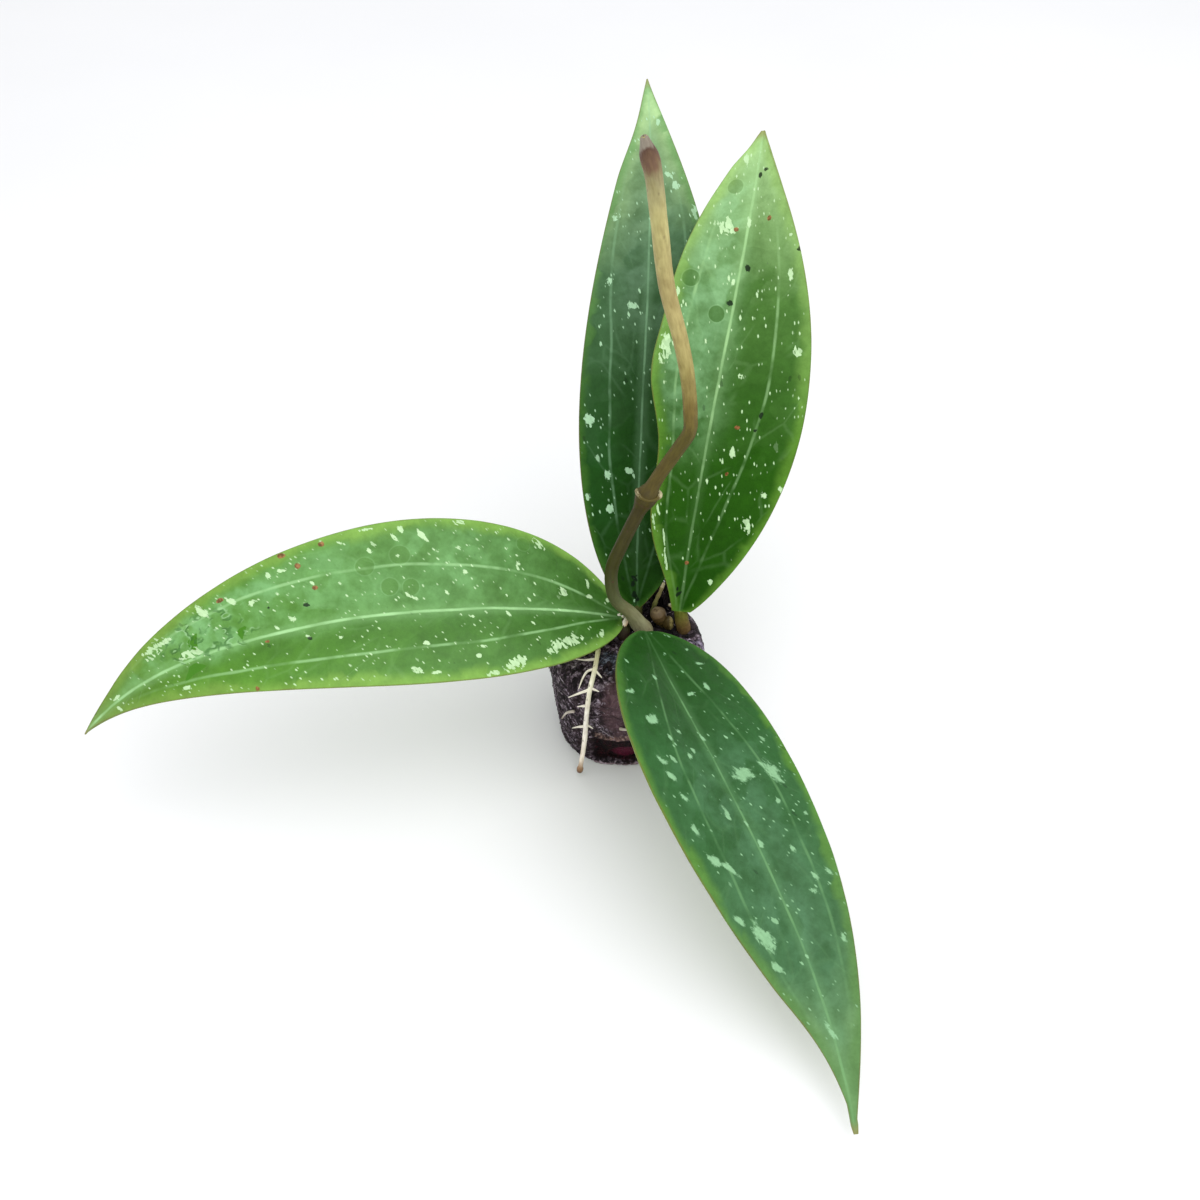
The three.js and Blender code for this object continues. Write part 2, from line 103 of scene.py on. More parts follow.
def tone(code: str) -> Colour:
    """Turns a six-digit screen colour into the light values that a shader works with."""
    parts = [int(code[k : k + 2], 16) / 255 for k in (0, 2, 4)]
    light = [c / 12.92 if c <= 0.04045 else ((c + 0.055) / 1.055) ** 2.4 for c in parts]
    return (*light, 1.0)


def unit(vectors: Array) -> Array:
    """Gives vectors the length one."""
    return vectors / np.linalg.norm(vectors, axis=-1, keepdims=True)


def gaps(places: Array, middle: Array | Point) -> Array:
    """Gives how far each place lies from a middle."""
    return np.linalg.norm(places - np.asarray(middle), axis=1)


def run_along(line: Array) -> Array:
    """Gives how far along a line each of its places lies."""
    return np.concatenate([[0], np.cumsum(gaps(line[1:], line[:-1]))])


def bell(value: Array, width: float, power: float = 2) -> Array:
    """Gives 1 where a value is 0, falling off to both sides over a width."""
    return np.exp(-(np.abs(value / width) ** power))


def turned(radius: Array, angle: Array, z: Array) -> Array:
    """Gives places at a radius, a direction and a height, one a row."""
    return np.c_[radius * np.cos(angle), radius * np.sin(angle), z]


def in_degrees(angle: Array) -> Array:
    """Turns angles into degrees from -180 to 180."""
    return np.degrees(np.arctan2(np.sin(angle), np.cos(angle)))


def ripples(points: Array, size: float, seed: float) -> Array:
    """Reads soft noise at points.

    Args:
        points: Places in millimetres, one a row.
        size: How wide one lump of the noise is, in millimetres.
        seed: Moves the noise, so that pieces differ.

    Returns:
        One number for each place, from about -1 to 1.
    """
    moved = points / size + seed
    return np.array([noise.noise(Vector(p)) for p in moved])


def smooth_route(points: Iterable[Point], count: int) -> tuple[Array, float]:
    """Runs an even curve through points, as the solid part does.

    Args:
        points: The places that the curve passes, in millimetres.
        count: How many evenly spaced stations to give.

    Returns:
        The stations, one a row, and the length of the curve.
    """
    p = np.array(list(points), float)
    p = np.vstack([2 * p[0] - p[1], p, 2 * p[-1] - p[-2]])
    dense = []
    for a, b, c, d in zip(p, p[1:], p[2:], p[3:]):
        t1, t2, t3 = np.cumsum([max(np.linalg.norm(v), 1e-6) ** 0.5 for v in (b - a, c - b, d - c)])
        for t in np.linspace(t1, t2, 24, endpoint=False):
            ab = (t1 - t) / t1 * a + t / t1 * b
            bc = (t2 - t) / (t2 - t1) * b + (t - t1) / (t2 - t1) * c
            cd = (t3 - t) / (t3 - t2) * c + (t - t2) / (t3 - t2) * d
            abc = (t2 - t) / t2 * ab + t / t2 * bc
            bcd = (t3 - t) / (t3 - t1) * bc + (t - t1) / (t3 - t1) * cd
            dense.append((t2 - t) / (t2 - t1) * abc + (t - t1) / (t2 - t1) * bcd)
    dense = np.array([*dense, p[-2]])
    run = run_along(dense)
    even = np.linspace(0, run[-1], count)
    return np.stack([np.interp(even, run, dense[:, k]) for k in range(3)], 1), run[-1]


# Work in edit mode


def start_clean() -> None:
    """Leaves edit mode and deselects everything."""
    if bpy.context.object and bpy.context.object.mode != "OBJECT":
        bpy.ops.object.mode_set(mode="OBJECT")
    bpy.ops.object.select_all(action="DESELECT")


def pick(piece: Piece) -> None:
    """Selects one piece alone and makes it the active one."""
    start_clean()
    piece.select_set(True)
    bpy.context.view_layer.objects.active = piece


def places_of(piece: Piece) -> Array:
    """Reads the places of all vertices, one a row."""
    flat = np.zeros(len(piece.data.vertices) * 3, np.float32)
    piece.data.vertices.foreach_get("co", flat)
    return flat.reshape(-1, 3).astype(float)


def put_places(piece: Piece, places: Array) -> None:
    """Writes the places of all vertices, given in millimetres."""
    piece.data.vertices.foreach_set("co", (places * MM).astype(np.float32).ravel())
    piece.data.update()


def read_back(piece: Piece, name: str) -> Array:
    """Reads one stored number for each vertex."""
    values = np.zeros(len(piece.data.vertices), np.float32)
    piece.data.attributes[name].data.foreach_get("value", values)
    return values.astype(float)


def put_reading(piece: Piece, name: str, values: Array) -> None:
    """Stores one number, or one triple, for each vertex under a name that shaders read."""
    values = np.asarray(values, np.float32)
    triple = values.ndim == 2
    kind = "FLOAT_VECTOR" if triple else "FLOAT"
    layer = piece.data.attributes.get(name) or piece.data.attributes.new(name, kind, "POINT")
    layer.data.foreach_set("vector" if triple else "value", values.ravel())


def put_readings(piece: Piece, readings: dict[str, Array | float]) -> None:
    """Stores several readings, each with a number for each vertex or one number for all."""
    count = len(piece.data.vertices)
    for name, values in readings.items():
        put_reading(piece, name, np.broadcast_to(values, count) if np.ndim(values) == 0 else values)


def close_up(piece: Piece, merge: float = 0.004) -> None:
    """Merges doubles, closes poles and turns all faces outwards.

    Args:
        piece: The piece to close.
        merge: How near two points merge, in millimetres.
    """
    pick(piece)
    bpy.ops.object.mode_set(mode="EDIT")
    bpy.ops.mesh.select_all(action="SELECT")
    bpy.ops.mesh.remove_doubles(threshold=merge * MM)
    bpy.ops.mesh.normals_make_consistent(inside=False)
    bpy.ops.object.mode_set(mode="OBJECT")


def smooth_over(piece: Piece, degrees: float = 60) -> None:
    """Shades a piece smooth, but keeps edges that are sharper than an angle."""
    pick(piece)
    bpy.ops.object.shade_smooth_by_angle(angle=math.radians(degrees))


def join_all(pieces: list[Piece], name: str) -> Piece:
    """Joins pieces into the first one and names it."""
    start_clean()
    for piece in pieces:
        piece.select_set(True)
    bpy.context.view_layer.objects.active = pieces[0]
    if len(pieces) > 1:
        bpy.ops.object.join()
    pieces[0].name = name
    pieces[0].data.name = name
    return pieces[0]


def add_grid(name: str, rows: int, columns: int, thick: bool) -> Piece:
    """Adds a grid whose points run from 0 to 1 along x and from -1 to 1 along y.

    Args:
        name: The name of the new piece.
        rows: How many faces it has along x.
        columns: How many faces it has along y.
        thick: Whether it becomes a closed slab, with its lower face at z = -1 and a row of
            points round its rim at z = -0.5.

    Returns:
        The new piece.
    """
    start_clean()
    bpy.ops.mesh.primitive_grid_add(x_subdivisions=rows, y_subdivisions=columns, size=2)
    grid = bpy.context.object
    grid.name = name
    grid.data.name = name
    bpy.ops.object.mode_set(mode="EDIT")
    bpy.ops.mesh.select_all(action="SELECT")
    if thick:
        bpy.ops.mesh.extrude_region_move(TRANSFORM_OT_translate={"value": (0, 0, -1)})
        bpy.ops.mesh.select_all(action="SELECT")
        bpy.ops.mesh.bisect(plane_co=(0, 0, -0.5), plane_no=(0, 0, 1))
    bpy.ops.object.mode_set(mode="OBJECT")
    return grid


def add_rods(name: str, lines: list[Array], radii: list[Array], sides: int) -> Piece:
    """Adds round rods along lines as one mesh.

    Args:
        name: The name of the new piece.
        lines: The middle line of each rod, one place a row, in millimetres.
        radii: The radii of each rod at the places of its line, in millimetres.
        sides: How many sides the rods have, an even number from 4.

    Returns:
        The rods, each with its ends closed by rows of points of their own.
    """
    start_clean()
    bpy.ops.curve.primitive_bezier_curve_add()
    curve = bpy.context.object.data
    curve.splines.clear()
    for line, radius in zip(lines, radii):
        spline = curve.splines.new("POLY")
        spline.points.add(len(line) - 1)
        spline.points.foreach_set("co", np.c_[line * MM, np.ones(len(line))].ravel())
        spline.points.foreach_set("radius", radius)
    curve.dimensions = "3D"
    curve.bevel_depth = MM
    curve.bevel_resolution = (sides - 4) // 2
    curve.use_fill_caps = True
    bpy.ops.object.convert(target="MESH")
    rods = bpy.context.object
    rods.name = name
    rods.data.name = name
    return rods


def add_tube(name: str, stations: Array, radii: Array, sides: int = 20) -> Piece:
    """Adds a closed round tube along stations.

    Args:
        name: The name of the new piece.
        stations: The middle line, one place a row, in millimetres.
        radii: The radius at each station, in millimetres.
        sides: How many sides the tube has, an even number from 4.

    Returns:
        The tube, with the readings "along", from 0 to 1, and "grain", its unrolled place.
    """
    rod = add_rods(name, [stations], [radii], sides)
    places = places_of(rod) / MM
    last = len(stations) - 1
    around = np.arange(len(places))
    cap = np.where(gaps(places, stations[0]) < gaps(places, stations[-1]), 0, last)
    ring = np.where(around < len(stations) * sides, around // sides, cap)
    turn = FULL_TURN * (around % sides) / sides
    put_reading(rod, "along", ring / last)
    put_reading(rod, "grain", turned(gaps(places, stations[ring]), turn, run_along(stations)[ring]))
    return rod


def add_strands(name: str, lines: list[Array], radii: list[float], shades: list[float]) -> Piece:
    """Adds many thin closed strands as one piece.

    Args:
        name: The name of the new piece.
        lines: The middle line of each strand, one place a row, in millimetres.
        radii: The radius of each strand, in millimetres.
        shades: A number from 0 to 1 for each strand, kept as the reading "shade".

    Returns:
        The strands, each with four sides and thinner ends.
    """
    tapers = [1 - 0.55 * np.abs(np.linspace(-1, 1, len(line))) ** 3 for line in lines]
    bundle = add_rods(name, lines, [r * taper for r, taper in zip(radii, tapers)], 4)
    corners = [(len(line) + 2) * 4 for line in lines]
    put_reading(bundle, "shade", np.repeat(shades, corners))
    close_up(bundle, 0.001)
    smooth_over(bundle, 50)
    return bundle


def rounded_radii(radii: Array, stations: Array, start: bool, end: bool) -> Array:
    """Rounds the ends of a tube.

    Args:
        radii: The radius at each station.
        stations: The middle line, one place a row.
        start: Whether the first end is rounded.
        end: Whether the last end is rounded.

    Returns:
        The radii with their ends drawn in like half a ball.
    """
    run = run_along(stations)
    out = np.array(radii, float)
    for wanted, gap in ((start, run), (end, run[-1] - run)):
        if wanted:
            t = np.clip(gap / np.asarray(radii), 0, 1)
            out = out * np.sqrt(np.maximum(1 - (1 - t) ** 2, 0.0004))
    return out


def finish_piece(piece: Piece, material: Material, slot: str, *nodes: str) -> None:
    """Dresses a piece, lets it ride on the body and hides the solids that it stands for.

    Args:
        piece: The finished piece.
        material: The material that covers it.
        slot: Not used.
        nodes: The solids of the part that it replaces.
    """
    piece.data.materials.clear()
    piece.data.materials.append(material)
    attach(piece, BODY)
    if nodes:
        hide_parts(*nodes)
    LOG.info("%s: %d faces", piece.name, len(piece.data.polygons))


# Shader work


class Reading:
    """A number that changes over a surface, kept as the socket that gives it."""

    def __init__(self, shader: "Shader", socket: bpy.types.NodeSocket) -> None:
        """Keeps the shader and the socket."""
        self.shader = shader
        self.socket = socket

    def __add__(self, other: "Reading | float") -> "Reading":
        """Adds."""
        return self.shader.maths("ADD", self, other)

    def __sub__(self, other: "Reading | float") -> "Reading":
        """Takes away."""
        return self.shader.maths("SUBTRACT", self, other)

    def __rsub__(self, other: float) -> "Reading":
        """Takes this reading from a number."""
        return self.shader.maths("SUBTRACT", other, self)

    def __mul__(self, other: "Reading | float") -> "Reading":
        """Multiplies."""
        return self.shader.maths("MULTIPLY", self, other)

    def __truediv__(self, other: "Reading | float") -> "Reading":
        """Divides."""
        return self.shader.maths("DIVIDE", self, other)

    def __abs__(self) -> "Reading":
        """Drops the sign."""
        return self.shader.maths("ABSOLUTE", self, 0.0)

    def __or__(self, other: "Reading") -> "Reading":
        """Gives the greater of two."""
        return self.shader.maths("MAXIMUM", self, other)

    def swing(self, amount: float) -> "Reading":
        """Turns noise from 0 to 1 into an even swing to both sides of nothing."""
        return (self - 0.5) * amount

    __radd__ = __add__
    __rmul__ = __mul__


class Shader:
    """The nodes of one material."""

    def __init__(self, name: str, constants: dict[str, object]) -> None:
        """Makes a material and sets what is the same all over it.

        Args:
            name: The material's name.
            constants: Values for the surface's own sockets, by the sockets' names.
        """
        self.material = bpy.data.materials.new(name)
        self.material.use_nodes = True
        self.tree = self.material.node_tree
        self.surface = next(n for n in self.tree.nodes if n.type == "BSDF_PRINCIPLED")
        for socket, value in constants.items():
            self.surface.inputs[socket].default_value = value

    def node(self, kind: str, settings: dict, inputs: dict, output: int | str = 0) -> Reading:
        """Adds one node.

        Args:
            kind: The node's type.
            settings: Its settings, set first. "stops" are a ramp's places and screen colours.
            inputs: Values, screen colours or links for its sockets, by name or number.
            output: Which of its outputs to give.

        Returns:
            That output.
        """
        made = self.tree.nodes.new(kind)
        for key, value in settings.items():
            if key == "stops":
                ramp = made.color_ramp
                while len(ramp.elements) < len(value):
                    ramp.elements.new(1.0)
                for element, (place, code) in zip(ramp.elements, value):
                    element.position = place
                    element.color = tone(code)
            else:
                setattr(made, key, value)
        for key, value in inputs.items():
            if isinstance(value, Reading):
                self.tree.links.new(value.socket, made.inputs[key])
            else:
                made.inputs[key].default_value = tone(value) if isinstance(value, str) else value
        return Reading(self, made.outputs[output])

    def maths(self, operation: str, first: Reading | float, second: Reading | float) -> Reading:
        """Adds one sum."""
        return self.node("ShaderNodeMath", {"operation": operation}, {0: first, 1: second})

    def reading(self, name: str) -> Reading:
        """Reads a number that the mesh stores for each vertex."""
        return self.node("ShaderNodeAttribute", {"attribute_name": name}, {}, "Fac")

    def triple(self, name: str) -> Reading:
        """Reads a triple that the mesh stores for each vertex."""
        return self.node("ShaderNodeAttribute", {"attribute_name": name}, {}, "Vector")

    def place(self) -> Reading:
        """Reads the place on the piece, in metres."""
        return self.node("ShaderNodeTexCoord", {}, {}, "Object")

    def stretched(self, where: Reading, by: Triple) -> Reading:
        """Stretches places by a factor along each axis."""
        return self.node("ShaderNodeVectorMath", {"operation": "MULTIPLY"}, {0: where, 1: by})

    def flat(self, x: Reading, y: Reading) -> Reading:
        """Makes a place of two numbers."""
        return self.node("ShaderNodeCombineXYZ", {}, {0: x, 1: y})

    def shaken(self, where: Reading, scale: float, amount: float) -> Reading:
        """Moves places about by noise, so that what is drawn on them gets ragged."""
        shake = self.node(
            "ShaderNodeTexNoise", {}, {"Vector": where, "Scale": scale, "Detail": 2.0}, "Color"
        )
        small = self.node(
            "ShaderNodeVectorMath",
            {"operation": "MULTIPLY_ADD"},
            {0: shake, 1: (amount,) * 3, 2: (-amount / 2,) * 3},
        )
        return self.node("ShaderNodeVectorMath", {"operation": "ADD"}, {0: where, 1: small})

    def clouds(self, where: Reading, scale: float, detail: float = 2, rough: float = 0.5) -> Reading:
        """Reads noise, from 0 to 1."""
        inputs = {"Vector": where, "Scale": scale, "Detail": detail, "Roughness": rough}
        return self.node("ShaderNodeTexNoise", {}, inputs, "Fac")

    def cells(
        self, where: Reading, scale: float, soft: float = 0.0, flat: bool = True
    ) -> tuple[Reading, Reading, Reading]:
        """Scatters cells.

        Args:
            where: The places.
            scale: How many cells fit in one unit.
            soft: How softly one cell runs into the next, from 0 to 1.
            flat: Whether the places are flat, so that the cells' middles lie among them.

        Returns:
            The distance to the cell's middle, and two random numbers for the cell.
        """
        inputs = {"Vector": where, "Scale": scale}
        if soft:
            inputs["Smoothness"] = soft
        settings = {"feature": "SMOOTH_F1" if soft else "F1", "voronoi_dimensions": "2D" if flat else "3D"}
        gap = self.node("ShaderNodeTexVoronoi", settings, inputs, "Distance")
        luck = Reading(self, gap.socket.node.outputs["Color"])
        first = self.node("ShaderNodeSeparateColor", {}, {0: luck}, 0)
        return gap, first, Reading(self, first.socket.node.outputs[1])

    def seams(self, where: Reading, scale: float) -> Reading:
        """Reads the distance to the nearest seam between cells."""
        settings = {"feature": "DISTANCE_TO_EDGE"}
        return self.node("ShaderNodeTexVoronoi", settings, {"Vector": where, "Scale": scale}, "Distance")

    def step(self, value: Reading, low: float, high: float) -> Reading:
        """Gives 0 below low and 1 above high, or the reverse where low is the greater."""
        settings = {"interpolation_type": "SMOOTHSTEP"}
        inputs = {"Value": value, "From Min": low, "From Max": high}
        if low > high:
            inputs = {"Value": value, "From Min": high, "From Max": low, "To Min": 1.0, "To Max": 0.0}
        return self.node("ShaderNodeMapRange", settings, inputs)

    def ramp(self, value: Reading, *stops: tuple[float, str]) -> Reading:
        """Turns a number into a colour, by places and the screen colours there."""
        return self.node("ShaderNodeValToRGB", {"stops": stops}, {"Fac": value}, "Color")

    def mix(self, mask: Reading, under: Reading | str, over: Reading | str) -> Reading:
        """Lays one colour over another where the mask is 1."""
        settings = {"data_type": "RGBA"}
        return self.node("ShaderNodeMix", settings, {0: mask, 6: under, 7: over}, 2)

    def dim(self, mask: Reading | float, under: Reading, by: Reading | str) -> Reading:
        """Multiplies a colour by another where the mask is 1."""
        settings = {"data_type": "RGBA", "blend_type": "MULTIPLY"}
        return self.node("ShaderNodeMix", settings, {0: mask, 6: under, 7: by}, 2)

    def dress(self, colour: Reading, roughness: Reading, height: Reading, depth: float) -> Material:
        """Links the finished colour, roughness and relief to the surface.

        Args:
            colour: The colour all over.
            roughness: The roughness all over.
            height: The relief, as a share of the depth.
            depth: The depth of the relief in metres.

        Returns:
            The material.
        """
        bump = self.node("ShaderNodeBump", {}, {"Height": height, "Distance": depth})
        for name, value in (("Base Color", colour), ("Roughness", roughness), ("Normal", bump)):
            self.tree.links.new(value.socket, self.surface.inputs[name])
        return self.material


# Finishes


class MarkKind(Enum):
    """What a mark on a blade is, by the reading that stores it."""

    SPLASH = "splash"
    LACE = "lace"
    SPOT = "spot"
    SPECK = "speck"
    CLEAR = "clear"
    # Patches of painted sheen.
    SHEEN_PATCH = "bloom"
    WET = "wet"
    DROP = "drop"

    @property
    def absent(self) -> float:
        """Gives the reading far from any mark of the kind."""
        return FAR_FROM_DROPS if self is MarkKind.DROP else 0.0


@dataclass(frozen=True)
class LeafFinish:
    """The waxy splashed skin of one leaf. Colours are six-digit screen colours.

    The body, far and tip tones run along the blade, and deep is the darkest. The sheen is a pale
    bluish cast between the veins, partly the skin's own waxy coat and partly painted sheen, a
    reflection of the bright room laid into the colour. Its hand is 1 for the right half, -1 for
    the left half and 0 for both, and its run is where it starts and stops along the leaf. The
    lane between midrib and side vein is darker on the halves that the dark hand names. The
    margin's tone changes from its base to its tip. The lean is how far flecks slant from the
    midrib towards the right half, in degrees. The vein share is how strongly the veins show, and
    the fade is how far from the base they take to show fully. The splash soft is how soft the
    rims of splashes are. The stalk's colours run from the blade down to the foot.
    """

    slot: str
    deep: str
    body: str
    far: str
    tip: str
    sheen: str
    margin: str
    margin_tip: str
    vein: str
    margin_base: str = ""
    splash: str = "c2e2b0"
    edge: str = "7d6a3c"
    below: str = "9db56c"
    sheen_hand: float = 1.0
    sheen_run: Pair = (0.2, 0.8)
    sheen_share: float = 0.6
    dark_hand: float = -1.0
    dark_share: float = 0.3
    margin_width: float = 3.0
    fleck_share: float = 1.0
    lean: float = 0.0
    gloss: float = 0.2
    vein_share: float = 0.6
    vein_fade: float = 0.3
    splash_soft: float = 0.06
    # The stalks darken to near black towards the foot: partly their own brown, partly painted shade under
    # the leaf bases.
    stalk: tuple[str, str, str, str] = ("86a050", "4c5426", "33281c", "2a2018")


class LeafSkin(Shader):
    """The skin of one leaf, laid on in layers that each add to its roughness and relief."""

    def __init__(self, finish: LeafFinish, kinds: Iterable[MarkKind]) -> None:
        """Reads the blade's stored numbers and draws the noise that the layers share.

        Args:
            finish: The colours and amounts of this leaf.
            kinds: The kinds of mark that lie on it.
        """
        gloss = finish.gloss
        shine = {"IOR": 1.45, "Specular IOR Level": gloss, "Coat Weight": gloss / 5, "Coat Roughness": 0.3}
        super().__init__(finish.slot, shine)
        self.finish, self.kinds = finish, set(kinds)
        self.along, self.across, self.half = map(self.reading, ("along", "across", "half"))
        self.run, self.upper, self.stalk = map(self.reading, ("run", "upper", "stalk"))
        self.rib = self.reading("rib")
        self.reach = self.across * self.half
        self.off = abs(self.across)
        self.to_edge = (1 - self.off) * self.half
        self.on_blade = self.flat(self.run, self.reach)
        self.where = self.place()
        self.cloud = self.clouds(self.where, 55, 3)
        self.patch = self.clouds(self.where, 150, 3)
        self.fine = self.clouds(self.where, 420, 3)
        self.grain = self.clouds(self.where, 1500, 2)
        self.facet = self.cells(self.shaken(self.on_blade, 0.35, 2.4), 0.21, soft=0.35)[1]
        self.tilted = self.tilt(3.1)
        self.ragged = self.clouds(self.tilted, 0.9, 4, 0.75)
        self.flake = self.cells(self.shaken(self.tilted, 1.1, 0.8), 1.1)[1]
        hand = self.step(self.across, -0.01, 0.01) * 31
        slanted = self.flat(self.run * 0.08 - abs(self.reach) * 0.07 + hand, abs(self.reach) * 0.09)
        warped = self.shaken(slanted, 1.8, 0.16)
        self.seam = self.seams(warped, 1.0)
        self.cell = self.cells(warped, 1.0)[2]
        self.crowd = self.step(self.clouds(self.where, 80, 2), 0.42, 0.62)
        self.roughness = 0.4 + self.fine * 0.14 + self.stalk * 0.25
        self.height = self.fine * 0.25 + self.grain * 0.12 + self.cloud * 0.5 + self.facet * 0.25

    def mark(self, kind: MarkKind) -> Reading:
        """Reads how strongly the marks of one kind show."""
        return self.reading(kind.value)

    def tilt(self, seed: float) -> Reading:
        """Gives places that run with the slant of the flecks, so that these are drawn out along it."""
        lean = math.radians(self.finish.lean)
        cos, sin = math.cos(lean), math.sin(lean)
        forward = (self.run * cos + self.reach * sin) * 0.45
        return self.flat(forward + seed, self.reach * cos - self.run * sin + seed)

    def flecks(self, seed: float, pitch: float, chance: Reading, size: Pair) -> Reading:
        """Scatters small rounded flecks.

        Args:
            seed: Moves the scatter, so that scatters differ.
            pitch: The pitch of the scatter, in millimetres.
            chance: The share of cells that get a fleck.
            size: The smallest and the largest radius, in millimetres.

        Returns:
            A mask of the flecks.
        """
        ragged = self.shaken(self.tilt(seed), 1.3 / size[1], 1.5 * size[1])
        gap, luck, odds = self.cells(ragged, 1 / pitch)
        present = self.step(luck + chance, 1.0, 1.004)
        small, large = (radius / pitch for radius in size)
        radius = odds * odds * (large - small) + small
        soft = 0.08 / pitch
        return self.step(radius - gap, -soft, soft) * present * (odds * 0.6 + 0.35)

    def lay_ground(self) -> Reading:
        """Lays the green along the blade, its dark lanes and cells, its painted sheen and its margins."""
        finish, along = self.finish, self.along
        cloud, patch, facet = self.cloud, self.patch, self.facet
        stops = (0.0, finish.deep), (0.3, finish.body), (0.68, finish.far), (1.0, finish.tip)
        colour = self.ramp(along + cloud.swing(0.2) + facet.swing(0.07), *stops)
        lane = self.step(self.off, 0.66, 0.3) * self.step(along, 0.95, 0.7)
        if finish.dark_hand:
            lane = lane * self.step(self.across * finish.dark_hand, -0.02, 0.06)
        colour = self.mix(lane * finish.dark_share, colour, finish.deep)
        # Painted sheen: a pale bluish cast laid into the colour, lighter on one half, standing in for
        # reflected light.
        colour = self.lay_sheen(colour)
        darker = self.cell * self.step(self.off, 0.95, 0.75) * self.step(along, 1.0, 0.7) * 0.2
        colour = self.mix(darker, colour, finish.deep)
        band = self.to_edge + patch.swing(2.2) + cloud.swing(3) + facet.swing(1.6)
        rim = self.step(band, finish.margin_width, finish.margin_width * 0.1)
        base, middle, tip = finish.margin_base or finish.margin, finish.margin, finish.margin_tip
        rim_tones = self.ramp(along, (0.04, base), (0.26, middle), (0.4, middle), (0.97, tip))
        colour = self.mix(rim * 0.85, colour, rim_tones)
        mottle = self.fine * 0.45 + patch * 0.35 + self.grain * 0.2
        return self.dim(0.8, colour, self.ramp(mottle, (0.36, "d6dad0"), (0.62, "ffffff")))

    def lay_sheen(self, colour: Reading) -> Reading:
        """Lays the painted bluish sheen, partly the skin's waxy coat, which drops and clear spots leave
        out.
        """
        finish = self.finish
        start, stop = finish.sheen_run
        span = self.step(self.along, start, start + 0.24) * self.step(self.along, stop, stop - 0.12)
        side = self.step(self.off, 1.0, 0.2)
        if finish.sheen_hand:
            side = self.step(self.across * finish.sheen_hand + self.cloud.swing(0.4), -0.3, 0.3)
        broken = self.facet * 0.3 + self.patch * 0.6 + self.fine * 0.3
        sheen = span * side * self.step(self.to_edge, 0.8, 5.0) * self.step(broken, 0.2, 0.9)
        sheen = sheen * finish.sheen_share
        # Extra painted sheen at the listed sheen patches.
        if MarkKind.SHEEN_PATCH in self.kinds:
            bloom = self.step(self.mark(MarkKind.SHEEN_PATCH) + self.patch.swing(0.5), 0.25, 0.8)
            sheen = sheen | bloom * self.step(broken, 0.3, 0.8)
        if MarkKind.DROP in self.kinds:
            sheen = sheen * (1 - self.in_drops() * 0.6)
        if MarkKind.CLEAR in self.kinds:
            sheen = sheen * (1 - self.in_clear())
        return self.mix(sheen, colour, finish.sheen)

    def in_drops(self) -> Reading:
        """Masks the drops."""
        return self.step(self.drop_depth(), -0.08, 0.12) * self.upper

    def drop_depth(self) -> Reading:
        """Reads how far inside the rim of a drop a place lies, in millimetres."""
        return self.mark(MarkKind.DROP) + self.fine.swing(0.4)

    def in_clear(self) -> Reading:
        """Masks the clear spots, where water shows the green below."""
        return self.step(self.mark(MarkKind.CLEAR) + self.fine.swing(0.25), 0.46, 0.54)

    def lay_veins(self, colour: Reading) -> Reading:
        """Lays the fine net, the midrib and the two side veins."""
        finish, along, fine = self.finish, self.along, self.fine
        rib = abs(self.rib)
        patchy = self.step(self.clouds(self.where, 90), 0.42, 0.6)
        beyond = self.step(rib, 0.5, 2.0) * self.step(along, 0.02, 0.16)
        net = self.step(self.seam, 0.05, 0.0) * patchy * self.step(self.to_edge, 0.6, 2.5) * beyond
        colour = self.mix(net * 0.06, colour, finish.vein)
        beads = self.clouds(self.where, 170, 2)
        width = 0.3 + 0.25 * finish.vein_share
        middle = self.step(rib / width + fine.swing(0.6), 1.1, 0.2) * self.step(along, 1.0, 0.96)
        beside = self.step(self.reading("vein") + fine.swing(0.3), 0.55, 0.08)
        beside = beside * self.step(along, 0.9, 0.6) * (self.step(beads, 0.34, 0.6) * 0.75 + 0.2)
        apart = self.step(along, 0.0, finish.vein_fade)
        halo = self.step(rib, 2.4, 0.3) * 0.12 * apart
        bright = self.step(beads, 0.3, 0.7) * 0.45 + 0.5
        self.veins = (middle * bright | beside * 0.55) * (apart * 0.8 + 0.2) * finish.vein_share
        self.height = self.height + beside * 0.05 - net * 0.12
        self.height = self.height + self.step(self.seam, 0.0, 0.35) * beyond * 0.3
        return self.mix(self.veins | halo, colour, finish.vein)

    def lay_clear_spots(self, colour: Reading) -> Reading:
        """Lays the clear spots."""
        return self.mix(self.in_clear() * 0.9, colour, "3f7a14")

    def lay_wet_strokes(self, colour: Reading) -> Reading:
        """Lays a wrinkled wet patch: dark strokes of painted shade in its creases, and pale strokes of
        painted highlight beside them.
        """
        wet = self.step(self.mark(MarkKind.WET), 0.35, 0.6)
        ridge = self.clouds(self.stretched(self.on_blade, (0.7, 1, 1)), 0.45, 1.5, 0.4) - 0.5
        strokes = self.step(self.clouds(self.on_blade, 0.35, 1), 0.46, 0.6) * wet
        shaded_crease = self.step(abs(ridge), 0.06, 0.01) * strokes
        lit = self.step(abs(ridge - 0.08), 0.05, 0.0) * strokes
        self.roughness = self.roughness - wet * 0.08
        self.height = self.height - shaded_crease * 0.3
        # Painted shade in the creases and a painted highlight along them.
        return self.mix(lit * 0.35, self.mix(shaded_crease * 0.6, colour, "33662c"), "b4dcae")

    def lay_drops(self, colour: Reading) -> Reading:
        """Lays round drops, a little darker inside, with a thin rim of painted highlight."""
        inside = self.in_drops()
        ring = self.step(abs(self.drop_depth() + 0.18), 0.24, 0.02) * self.upper
        self.roughness = self.roughness - inside * 0.14
        self.height = self.height + self.step(self.drop_depth(), -0.1, 1.6) * 0.2
        colour = self.mix(inside * 0.3, colour, self.finish.body)
        # The thin pale rim is a painted highlight on the water.
        return self.mix(ring * self.patch * 0.18, colour, self.finish.vein)

